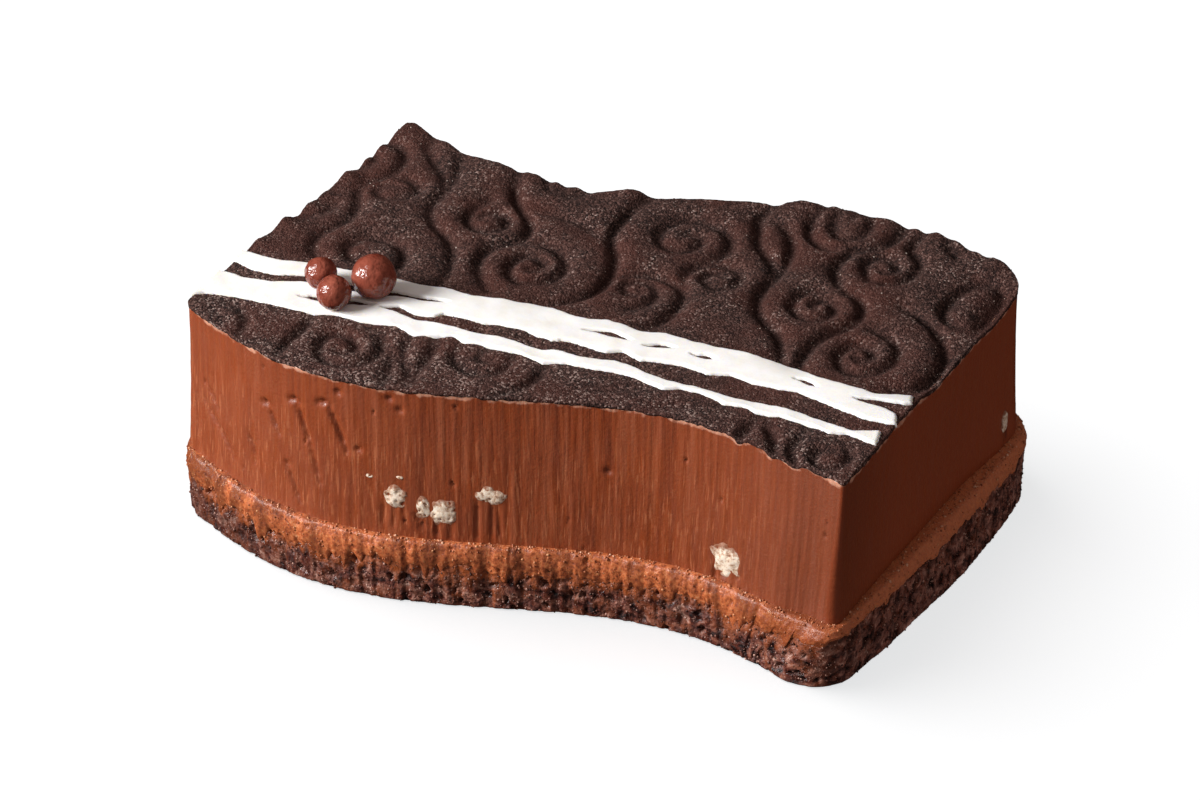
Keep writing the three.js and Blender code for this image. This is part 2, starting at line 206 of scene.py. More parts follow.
BASE_QUIET = 0.6
UPRIGHT_REACH = (30 * MM, 44 * MM)


def wave_at(x):
    """How far the wave moves the plan at this x."""
    return WAVE_DEPTH * np.sin(2 * np.pi * (x - WAVE_SHIFT) / WAVE_LENGTH)


def smooth(value, low, high):
    """Rises softly from 0 at low to 1 at high."""
    share = np.clip((np.asarray(value, float) - low) / (high - low), 0, 1)
    return share * share * (3 - 2 * share)


def turned_back(x, y, trim):
    """How far the right end of the front turns back, at places of the plan before its wave."""
    return trim * smooth(x, TRIM_START, LENGTH / 2) * (1 - smooth(y, -WIDTH / 2, 0))


def outline(outset, corners, columns, right_side=((0, 0),), trim=0.0, left_in=0.0):
    """The wave plan, anticlockwise from the right end of the front: places, and the directions that point
    out. Its right side stands in and out as given, its front turns back at the right end, and its left side
    moves in."""
    half = np.array([LENGTH / 2 + outset, WIDTH / 2 + outset])
    rounds = []
    for number, sign in enumerate([(1, -1), (1, 1), (-1, 1), (-1, -1)]):
        turn = np.linspace(number - 1, number, columns["corner"] + 1) * np.pi / 2
        centre = (half - corners[number]) * sign
        rounds.append(centre + corners[number] * np.stack([np.cos(turn), np.sin(turn)], 1))
    places = []
    for number, round_corner in enumerate(rounds):
        share = np.linspace(0, 1, columns[SIDES[number]] + 1)[1:-1, None]
        side = round_corner[-1] + (rounds[(number + 1) % 4][0] - round_corner[-1]) * share
        places += [round_corner, side]
    places = np.concatenate(places)
    side_y, side_x = np.array(right_side).T * MM
    stands_out = np.interp(places[:, 1], side_y, side_x)
    back = turned_back(*places.T, trim)
    places[:, 0] += stands_out * smooth(places[:, 0], LENGTH / 2 - SIDE_REACH, LENGTH / 2)
    places[:, 0] += left_in * smooth(-places[:, 0], LENGTH / 2 - SIDE_REACH, LENGTH / 2)
    places[:, 1] += wave_at(places[:, 0]) + back
    step = np.roll(places, -1, 0) - np.roll(places, 1, 0)
    outward = np.stack([step[:, 1], -step[:, 0]], 1)
    return places, outward / np.linalg.norm(outward, axis=1)[:, None]


def new_piece(name, places, faces, **attributes):
    """A mesh piece at the origin, with a vector or a number for every point under each attribute's name."""
    mesh = bpy.data.meshes.new(name)
    mesh.from_pydata(places.tolist(), [], faces)
    for label, values in attributes.items():
        kind, key_word = ("FLOAT_VECTOR", "vector") if values.ndim == 2 else ("FLOAT", "value")
        mesh.attributes.new(label, kind, "POINT").data.foreach_set(
            key_word, values.astype(np.float32).ravel()
        )
    return new_object(name, mesh)


def layer(name, plan, levels, foot, quiet=QUIET):
    """A closed slab. Each level is its height, how far it stands out, how much the cut roughens it, and how
    much it follows the layer's uneven edge. The right side stays quieter. Both ends are closed by flat lids.
    A foot is another outline, which turns into the slab's own between two heights near the corners."""
    places, outward = plan
    count = len(places)
    flat = np.column_stack([places, np.zeros(count)])
    foot_plan, foot_start, foot_end = foot
    change = np.column_stack([foot_plan[0] - places, np.zeros(count)])
    change *= smooth(np.abs(places[:, :1]), *UPRIGHT_REACH)
    out = np.column_stack([outward, np.zeros(count)])
    rings = [
        flat + change * (1 - float(smooth(height, foot_start, foot_end))) + out * push + (0, 0, height)
        for height, push, _, _ in levels
    ]
    centres = np.array([(0, 0, levels[0][0]), (0, 0, levels[-1][0])])
    one = np.arange(count)
    after = (one + 1) % count
    faces = []
    for r in range(len(levels) - 1):
        a, b = r * count, (r + 1) * count
        faces += np.stack([a + one, a + after, b + after, b + one], 1).tolist()
    end = len(levels) * count
    faces += np.stack([after, one, np.full(count, end)], 1).tolist()
    faces += np.stack([end - count + one, end - count + after, np.full(count, end + 1)], 1).tolist()
    out = out * (1 - quiet * smooth(places[:, :1], LENGTH / 2 - MM, LENGTH / 2))
    grips = [out * grip for _, _, grip, _ in levels]
    shifts = [np.full(count, shift) for _, _, _, shift in levels]
    return new_piece(
        name, np.concatenate([*rings, centres]), faces,
        plan=np.concatenate([*[flat] * len(levels), np.zeros((2, 3))]),
        outward=np.concatenate([*grips, np.zeros((2, 3))]), shift=np.concatenate([*shifts, np.zeros(2)]),
    )


def new_tree(name, numbers, **others):
    """A geometry tree with a named input for each number, for others of the given kinds, and for its
    material."""
    tree = bpy.data.node_groups.new(name, "GeometryNodeTree")
    kinds = {
        "Geometry": "Geometry", **dict.fromkeys(numbers.split(), "Float"), **others, "Material": "Material"
    }
    for label, kind in kinds.items():
        tree.interface.new_socket(label, in_out="INPUT", socket_type="NodeSocket" + kind)
    tree.interface.new_socket("Geometry", in_out="OUTPUT", socket_type="NodeSocketGeometry")
    add = functools.partial(add_node, tree)
    return add, add("GroupInput").outputs


def finish_tree(add, geometry, given):
    """Ends a tree: instances made real, smooth faces, and the material."""
    smoothed = add("SetShadeSmooth", add("RealizeInstances", geometry))
    return add("GroupOutput", add("SetMaterial", smoothed, Material=given["Material"])).id_data


def shape(piece, tree, **sizes):
    """Runs a tree on a piece with these sizes and keeps the result as the piece's plain mesh."""
    modifier = piece.modifiers.new(tree.name, "NODES")
    modifier.node_group = tree
    for item in tree.interface.items_tree:
        if item.in_out == "INPUT" and item.name in sizes:
            modifier[item.identifier] = sizes[item.name]
    depsgraph = bpy.context.evaluated_depsgraph_get()
    plain = bpy.data.meshes.new_from_object(
        piece.evaluated_get(depsgraph), preserve_all_data_layers=True, depsgraph=depsgraph
    )
    piece.modifiers.remove(modifier)
    piece.data = plain
    plain.name = piece.name


def roughened(add, height, place, size, depth, **settings):
    """Adds chance of a size and depth to a height, as much up as down."""
    chance = add("TexNoise", place, Scale=add("Math DIVIDE", 1, size), **settings)
    return add("Math MULTIPLY_ADD", add("Math SUBTRACT", chance, 0.5), depth, height)


def beside_lines(add, lines, place):
    """How far a place is from the nearest of the lines, and that line's share."""
    lines = add("ObjectInfo", Object=lines).outputs["Geometry"]
    near = add("Proximity", lines, Sample_Position=place, target_element="EDGES")
    nearest = add("SampleNearest", lines, Sample_Position=place)
    share = add("InputNamedAttribute", "share")
    return near.outputs["Distance"], add("SampleIndex", lines, Value=share, Index=nearest)


def take_place(piece, node):
    """Puts a piece in a node's place and hides the node's part. Everything rides on the one body."""
    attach(piece, "root")
    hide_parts(node)


def ragged_seam_tree():
    """Moves the edge between two layers up and down along the cut, with fingers that the knife dragged down.
    It rises and is calmer at the right side, most in front."""
    add, given = new_tree("ragged_seam", "Patch Unevenness Tear Raggedness Finger Drag Rise")
    plan = add("InputNamedAttribute", "plan", data_type="FLOAT_VECTOR")
    shift = add("InputNamedAttribute", "shift")
    total = roughened(add, 0, plan, given["Patch"], given["Unevenness"], Detail=1)
    total = roughened(add, total, plan, given["Tear"], given["Raggedness"], Detail=3)
    chance = add("TexNoise", plan, Scale=add("Math DIVIDE", 1, given["Finger"]), Detail=2)
    finger = add("MapRange", chance, 0.54, 0.72, 0, 1)
    total = add("Math SUBTRACT", total, add("Math MULTIPLY", finger, given["Drag"]))
    along = add("SeparateXYZ", plan)
    at_end = add("MapRange", along, TRIM_START, LENGTH / 2, 0, 1)
    calm = add("MapRange", along, TRIM_START, LENGTH / 2, 1, SEAM_CALM)
    total = add("Math MULTIPLY", total, calm)
    nearer = add("MapRange", along.outputs["Y"], -28 * MM, 8 * MM, 1.35, 0.9)
    rise = add("Math MULTIPLY", nearer, given["Rise"])
    total = add("Math MULTIPLY_ADD", at_end, rise, total)
    offset = add("CombineXYZ", Z=add("Math MULTIPLY", total, shift))
    return finish_tree(add, add("SetPosition", given["Geometry"], Offset=offset), given)


def cut_side_tree():
    """Gives a cut side its relief: ribs and streaks that the knife drew upright, crumb, pits, and single
    marks. The knife levelled what stood out further than Proud."""
    add, given = new_tree(
        "cut_side",
        "Rib RibDepth Streak StreakDepth Crumb CrumbDepth Pit PitDepth PitShare MarkWidth MarkDepth Proud",
        Marks="Object",
    )
    plan = add("InputNamedAttribute", "plan", data_type="FLOAT_VECTOR")
    outward = add("InputNamedAttribute", "outward", data_type="FLOAT_VECTOR")
    place = add("InputPosition")
    drawn = add("VectorMath MULTIPLY_ADD", place, (0, 0, 0.04), plan)
    total = 0
    for size, where, detail in (("Rib", drawn, 2), ("Streak", drawn, 3), ("Crumb", place, 5)):
        total = roughened(add, total, where, given[size], given[size + "Depth"], Detail=detail, Roughness=0.6)
    scale = add("Math DIVIDE", 1, given["Pit"])
    swirl = add("TexNoise", place, Scale=scale, Detail=3, Roughness=0.7)
    aside = add("VectorMath SUBTRACT", swirl.outputs["Color"], (0.5, 0.5, 0.5))
    aside = add("VectorMath SCALE", aside, Scale=given["Pit"])
    torn = add("VectorMath MULTIPLY_ADD", aside, (1.6, 1.6, 1.6), place)
    cell = add("TexVoronoi", torn, Scale=scale)
    bowl = add("MapRange", cell, 0.42, 0.12, 0, 1, interpolation_type="SMOOTHSTEP")
    draw = add("SeparateXYZ", cell.outputs["Color"])
    pit = add("Math MULTIPLY", bowl, add("Math LESS_THAN", draw, given["PitShare"]))
    sunk = add("Math MULTIPLY", pit, given["PitDepth"])
    total = add("Math SUBTRACT", add("Math MINIMUM", total, given["Proud"]), sunk)
    distance, depth = beside_lines(add, given["Marks"], place)
    across = add("Math DIVIDE", distance, given["MarkWidth"])
    squared = add("Math MULTIPLY", across, across)
    hollow = add("Math EXPONENT", add("Math MULTIPLY", squared, -1))
    dent = add("Math MULTIPLY", add("Math MULTIPLY", hollow, depth), given["MarkDepth"])
    total = add("Math SUBTRACT", total, dent)
    moved = add("SetPosition", given["Geometry"], Offset=add("VectorMath SCALE", outward, Scale=total))
    # The relief is kept as well: the sponge and the mousse paint shade into their hollows from it.
    kept = add("StoreNamedAttribute", moved, Name="relief", Value=add("Math DIVIDE", total, MM))
    return finish_tree(add, kept, given)


def coated(add, colour, *coats):
    """Lays coats over a colour. Each follows a value from where it begins to where it has its full share, and
    ends in its tone."""
    for value, begins, full, most, tone in coats:
        share = add("MapRange", value, begins, full, 0, most)
        colour = add("Mix", share, at={6: colour, 7: tone}, data_type="RGBA")
    return colour


def sponge_material():
    """Moist chocolate sponge: red-brown crumb with wet glossy spots; its holes are near black, partly by
    painted shade.
    """
    made, add, surface = new_material("moist_chocolate_sponge")
    place = add("TexCoord").outputs["Object"]
    crumb = add("TexNoise", place, Scale=1 / (1.7 * MM), Detail=7, Roughness=0.68, Distortion=0.6)
    # The palest crumb at the top of this ramp is partly painted glint, for the wet crumb catching the light.
    colour = add(
        "ValToRGB", crumb, stops=[(0.38, "#170808"), (0.5, "#603026"), (0.58, "#8a5746"), (0.68, "#c39c8d")]
    )
    patch = add("TexNoise", place, Scale=1 / (2.6 * MM), Detail=3)
    along = add("SeparateXYZ", place)
    # Painted light: a paler crumb for the right side, which lies out of the light.
    painted_lit_crumb = coated(add, "#411c16", (crumb, 0.42, 0.66, 1, "#bd7a6b"))
    relief = add("Attribute", attribute_name="relief")
    seam_share = add("Attribute", attribute_name="shift")
    drawn = add("Mapping", place, Scale=(1, 1, 0.12))
    streaks = add("TexNoise", drawn, Scale=1 / (1.6 * MM), Detail=4, Roughness=0.6)
    reach = add("Math MULTIPLY_ADD", seam_share.outputs["Fac"], 0.3, streaks)
    reddest = add("MapRange", along, TRIM_START, LENGTH / 2, 0.75, 0.12)
    # Rusty patches; painted shade at the left and in hollows; painted light at the right side; smeared
    # praline.
    smeared = coated(
        add, colour, (patch, 0.5, 0.64, 0.5, "#8a4a2c"), (along, -18 * MM, -38 * MM, 0.5, "#3c1a12"),
        (along, 45 * MM, 49 * MM, 0.5, painted_lit_crumb), (relief.outputs["Fac"], 0.1, -0.9, 0.8, "#160807"),
        (reach, 0.6, 0.78, reddest, "#9a4f28"),
    )
    wet = add("TexNoise", place, Scale=1 / (0.8 * MM), Detail=3)
    rough = add("MapRange", wet, 0.38, 0.62, 0.22, 0.7)
    grain = add("TexNoise", place, Scale=1 / (0.35 * MM), Detail=4)
    bump = add("Bump", Height=grain, Strength=0.8, Distance=0.25 * MM)
    feed(surface, {"Base Color": smeared, "Roughness": rough, "Normal": bump})
    return made


def strewing_tree():
    """Strews small lumps over the faces that look neither lower nor higher than given, and that the cut grips
    by more than given. Each lump has its own tint."""
    add, given = new_tree("strewing", "Density Lowest Highest Gripped Smallest Largest", Seed="Int")
    upright = add("SeparateXYZ", add("InputNormal")).outputs["Z"]
    below = add("Math LESS_THAN", upright, given["Highest"])
    chosen = add("Math MULTIPLY", add("Math GREATER_THAN", upright, given["Lowest"]), below)
    outward = add("InputNamedAttribute", "outward", data_type="FLOAT_VECTOR")
    gripped = add("Math GREATER_THAN", add("VectorMath LENGTH", outward), given["Gripped"])
    chosen = add("Math MULTIPLY", chosen, gripped)
    points = add(
        "DistributePointsOnFaces", Mesh=given["Geometry"], Selection=chosen, Density=given["Density"],
        Seed=given["Seed"],
    )
    lump = add("MeshIcoSphere", Radius=1, Subdivisions=1)
    turn = add("RandomValue", at={1: (6.3, 6.3, 6.3), 8: given["Seed"]}, data_type="FLOAT_VECTOR")
    small = add("Math POWER", add("RandomValue", at={8: 1}), 3)
    size = add("MapRange", small, 0, 1, given["Smallest"], given["Largest"])
    squash = add("RandomValue", (0.6, 0.6, 0.6), (1.2, 1.2, 1.2), at={8: 2}, data_type="FLOAT_VECTOR")
    scale = add("VectorMath SCALE", squash, Scale=size)
    strewn = add("InstanceOnPoints", Points=points, Instance=lump, Rotation=turn, Scale=scale)
    tint = add("RandomValue", at={8: 3})
    kept = add("StoreNamedAttribute", strewn, Name="tint", Value=tint, domain="INSTANCE")
    return finish_tree(add, kept, given)


def strew(name, ground, **sizes):
    """A piece of small lumps on the faces of another piece."""
    piece = new_object(name, ground.data.copy())
    shape(piece, strew_tree, **sizes)
    return piece


def grain_material(name, roughness, tints):
    """Loose grains, each of one even tint out of a range."""
    made, add, surface = new_material(name, Roughness=roughness)
    tint = add("Attribute", attribute_name="tint")
    colour = add("ValToRGB", tint.outputs["Fac"], stops=tints)
    feed(surface, {"Base Color": colour})
    return made


sponge_finish = sponge_material()
strew_tree = strewing_tree()
seam_tree = ragged_seam_tree()
cut_tree = cut_side_tree()
SEAM_SIZES = {
    "Patch": 5.0 * MM, "Unevenness": 4.5 * MM, "Tear": 1.0 * MM, "Raggedness": 2.0 * MM, "Finger": 2.4 * MM,
    "Drag": 2.4 * MM, "Rise": 1.4 * MM,
}

foot_turns = np.linspace(0, math.pi / 2, FOOT_STEPS)
foot = [
    (FOOT_ROUND * (1 - math.cos(t)), FOOT_ROUND * (math.sin(t) - 1), math.sin(t), 0.0) for t in foot_turns
]
sides = [
    (height, 0.0, 1.0, float(smooth(height, SEAM - SEAM_REACH, SEAM)))
    for height in np.linspace(FOOT_ROUND, SEAM, SPONGE_ROWS)[1:]
]
tuck = [(SEAM - LID_DROP, -LID_INSET, 0.0, 0.0)]
base_plan = outline(BASE_OUTSET, BASE_CORNERS, BASE_COLUMNS, EDGE_SIDE, END_TRIM, BASE_LEFT_IN)
foot_plan = outline(BASE_OUTSET, FOOT_CORNERS, BASE_COLUMNS, FOOT_SIDE, 0.0, BASE_LEFT_IN)
base_foot = (foot_plan, 0, PRALINE_TOP)
sponge = layer("sponge", base_plan, foot + sides + tuck, base_foot, BASE_QUIET)
shape(sponge, seam_tree, Material=sponge_finish, **SEAM_SIZES)
shape(
    sponge, cut_tree, Rib=2.2 * MM, RibDepth=1.8 * MM, Streak=0.7 * MM, StreakDepth=0.6 * MM, Crumb=1.8 * MM,
    CrumbDepth=1.6 * MM, Pit=1.6 * MM, PitDepth=1.0 * MM, PitShare=0.3, MarkWidth=1 * MM, Proud=0.1 * MM,
    Material=sponge_finish,
)
sponge_crumbs = strew(
    "sponge_crumbs", sponge, Density=2.2 / MM**2, Lowest=-0.75, Highest=0.75, Gripped=0.0, Smallest=0.07 * MM,
    Largest=0.22 * MM, Seed=11,
    Material=grain_material("moist_sponge_crumb", 0.5, [
        (0.0, "#2c140e"), (0.5, "#6b3d2e"), (1.0, "#b58b7c")
    ]),
)
for piece in (sponge, sponge_crumbs):
    take_place(piece, "sponge_base")


# The hazelnut praline.
# A soft paste of hazelnut and milk chocolate spread on the sponge, grainy with ground nut. It bulges a little
# at the cut, leaves a narrow ledge outside the mousse, and was dragged down over the sponge in fingers.
PRALINE_BULGE = 0.3 * MM
PRALINE_LIP = 0.06 * MM
PRALINE_TUCK = 0.4 * MM
LEDGE_REACH = 3.1 * MM
LEDGE_STEP = 0.8 * MM
PRALINE_ROWS = 16
PRALINE_HEM = 0.7 * MM
SEAM_FADE = 3.4 * MM


def praline_material():
    """Hazelnut praline: orange-brown paste with fine nut grains that catch the light."""
    made, add, surface = new_material(
        "hazelnut_praline", Subsurface_Weight=0.15, Subsurface_Scale=1.0 * MM,
        Subsurface_Radius=(1.0, 0.45, 0.2),
    )
    place = add("TexCoord").outputs["Object"]
    grain = add("TexNoise", place, Scale=1 / (0.5 * MM), Detail=4, Roughness=0.7)
    colour = add(
        "ValToRGB", grain, stops=[(0.34, "#77351a"), (0.5, "#b86136"), (0.6, "#c67549"), (0.74, "#dc9d72")]
    )
    smear = add("Mapping", place, Scale=(1, 1, 0.3))
    dark = add("TexNoise", smear, Scale=1 / (2.2 * MM), Detail=4)
    along = add("SeparateXYZ", place)
    # Painted shade: the paste turns darker towards the left end.
    left = add("MapRange", along, -24 * MM, -40 * MM, 0, 0.13)
    smears_and_painted_shade = add("Math ADD", dark, left)
    strength = add("MapRange", along, 43 * MM, 46 * MM, 0.6, 0.1)
    # Painted light: a pale mottled paste for the right side, which lies out of the light.
    painted_light_mottle = coated(add, "#c25f36", (grain, 0, 1, 1, "#fa9c6c"))
    # Dark smears and painted shade at the left, painted shade at the front's right end, painted light at the
    # right side.
    mixed = coated(
        add, colour, (smears_and_painted_shade, 0.46, 0.64, strength, "#4a1f10"), (along, 30 * MM, 41 * MM, 0.6, "#7b3a1c"),
        (along, 46 * MM, 48.5 * MM, 0.55, painted_light_mottle),
    )
    rough = add("MapRange", grain, 0.35, 0.65, 0.5, 0.26)
    bump = add("Bump", Height=grain, Strength=0.7, Distance=0.2 * MM)
    feed(surface, {"Base Color": mixed, "Roughness": rough, "Normal": bump})
    return made


praline_finish = praline_material()
hem = [(SEAM, -LID_INSET, 0.0, 0.0), (SEAM - PRALINE_HEM, -2 * PRALINE_BULGE, 0.0, 1.0)]
band = [
    (
        height, PRALINE_BULGE * (math.sin(math.pi * share) - share) + PRALINE_LIP * (1 - share), 1.0,
        1 - float(smooth(height, SEAM, SEAM + SEAM_FADE)),
    )
    for share, height in zip(np.linspace(0, 1, PRALINE_ROWS), np.linspace(SEAM, PRALINE_TOP, PRALINE_ROWS))
]
ledge = [(PRALINE_TOP, -PRALINE_TUCK, 0.4, 0.0), (PRALINE_TOP, -PRALINE_TUCK - LEDGE_STEP, 0.01, 0.0)]
ledge += [(PRALINE_TOP, -LEDGE_REACH, 0.0, 0.0)]
praline = layer("praline", base_plan, hem + band[:-1] + ledge, base_foot, BASE_QUIET)
shape(praline, seam_tree, Material=praline_finish, **SEAM_SIZES)
shape(
    praline, cut_tree, Rib=2.2 * MM, RibDepth=1.2 * MM, Streak=0.7 * MM, StreakDepth=0.35 * MM,
    Crumb=0.9 * MM, CrumbDepth=0.5 * MM, Pit=1.2 * MM, PitDepth=0.4 * MM, PitShare=0.04, MarkWidth=1 * MM,
    Proud=0.12 * MM, Material=praline_finish,
)
nut_grains = strew(
    "nut_grains", praline, Density=1.2 / MM**2, Lowest=-0.7, Highest=1.1, Gripped=0.0, Smallest=0.06 * MM,
    Largest=0.24 * MM, Seed=12,
    Material=grain_material("ground_hazelnut", 0.5, [(0.0, "#83401f"), (0.7, "#b0653c"), (1.0, "#cf9468")]),
)
# The pale grains on the ledge are real nut grains and partly painted glint, where the ledge catches the
# light.
ledge_grains = strew(
    "ledge_grains", praline, Density=5.0 / MM**2, Lowest=0.6, Highest=1.1, Gripped=0.0, Smallest=0.06 * MM,
    Largest=0.26 * MM, Seed=14,
    Material=grain_material("pale_hazelnut", 0.45, [(0.0, "#9c5431"), (0.6, "#bd744c"), (1.0, "#dba98a")]),
)
for piece in (praline, nut_grains, ledge_grains):
    take_place(piece, "praline_layer")


# The mousse.
# A dense milk-brown chocolate mousse, cut with a warm knife that left fine upright ribs, slanting scratches
# and drag marks under the crisps. Its side runs up to the embossed top, so the rim rises and dips with it.
MOUSSE_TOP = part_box("mousse_layer")[1][2]
COCOA_HEIGHT = 1.4 * MM
CAKE_TOP = MOUSSE_TOP + COCOA_HEIGHT
FOOT_OUTSET = 1.1 * MM
FOOT_CURVE = 1.5
MOUSSE_CORNERS = np.array([0.6, 4.0, 1.8, 1.2]) * MM
# How far the right side leans in at its foot: y and distance in millimetres.
MOUSSE_SIDE = [(-28.5, -1.4), (-21, -1.5), (-14, -1.5), (2, -1.3), (10, -1.2), (20, -0.2), (28, 0)]
MOUSSE_TRIM = 2.3 * MM
MOUSSE_COLUMNS = {"corner": 10, "right": 230, "back": 320, "left": 190, "front": 520}
MOUSSE_FOOT = PRALINE_TOP - 0.5 * MM
SIDE_ROWS = 60
RIM_ROWS = 9
RIM_REACH = 2.4 * MM
COCOA_DUST = 0.3 * MM
RIM_TUCK = 0.6 * MM
LID_TUCK = 1.4 * MM
LID_SUNK = 3 * MM

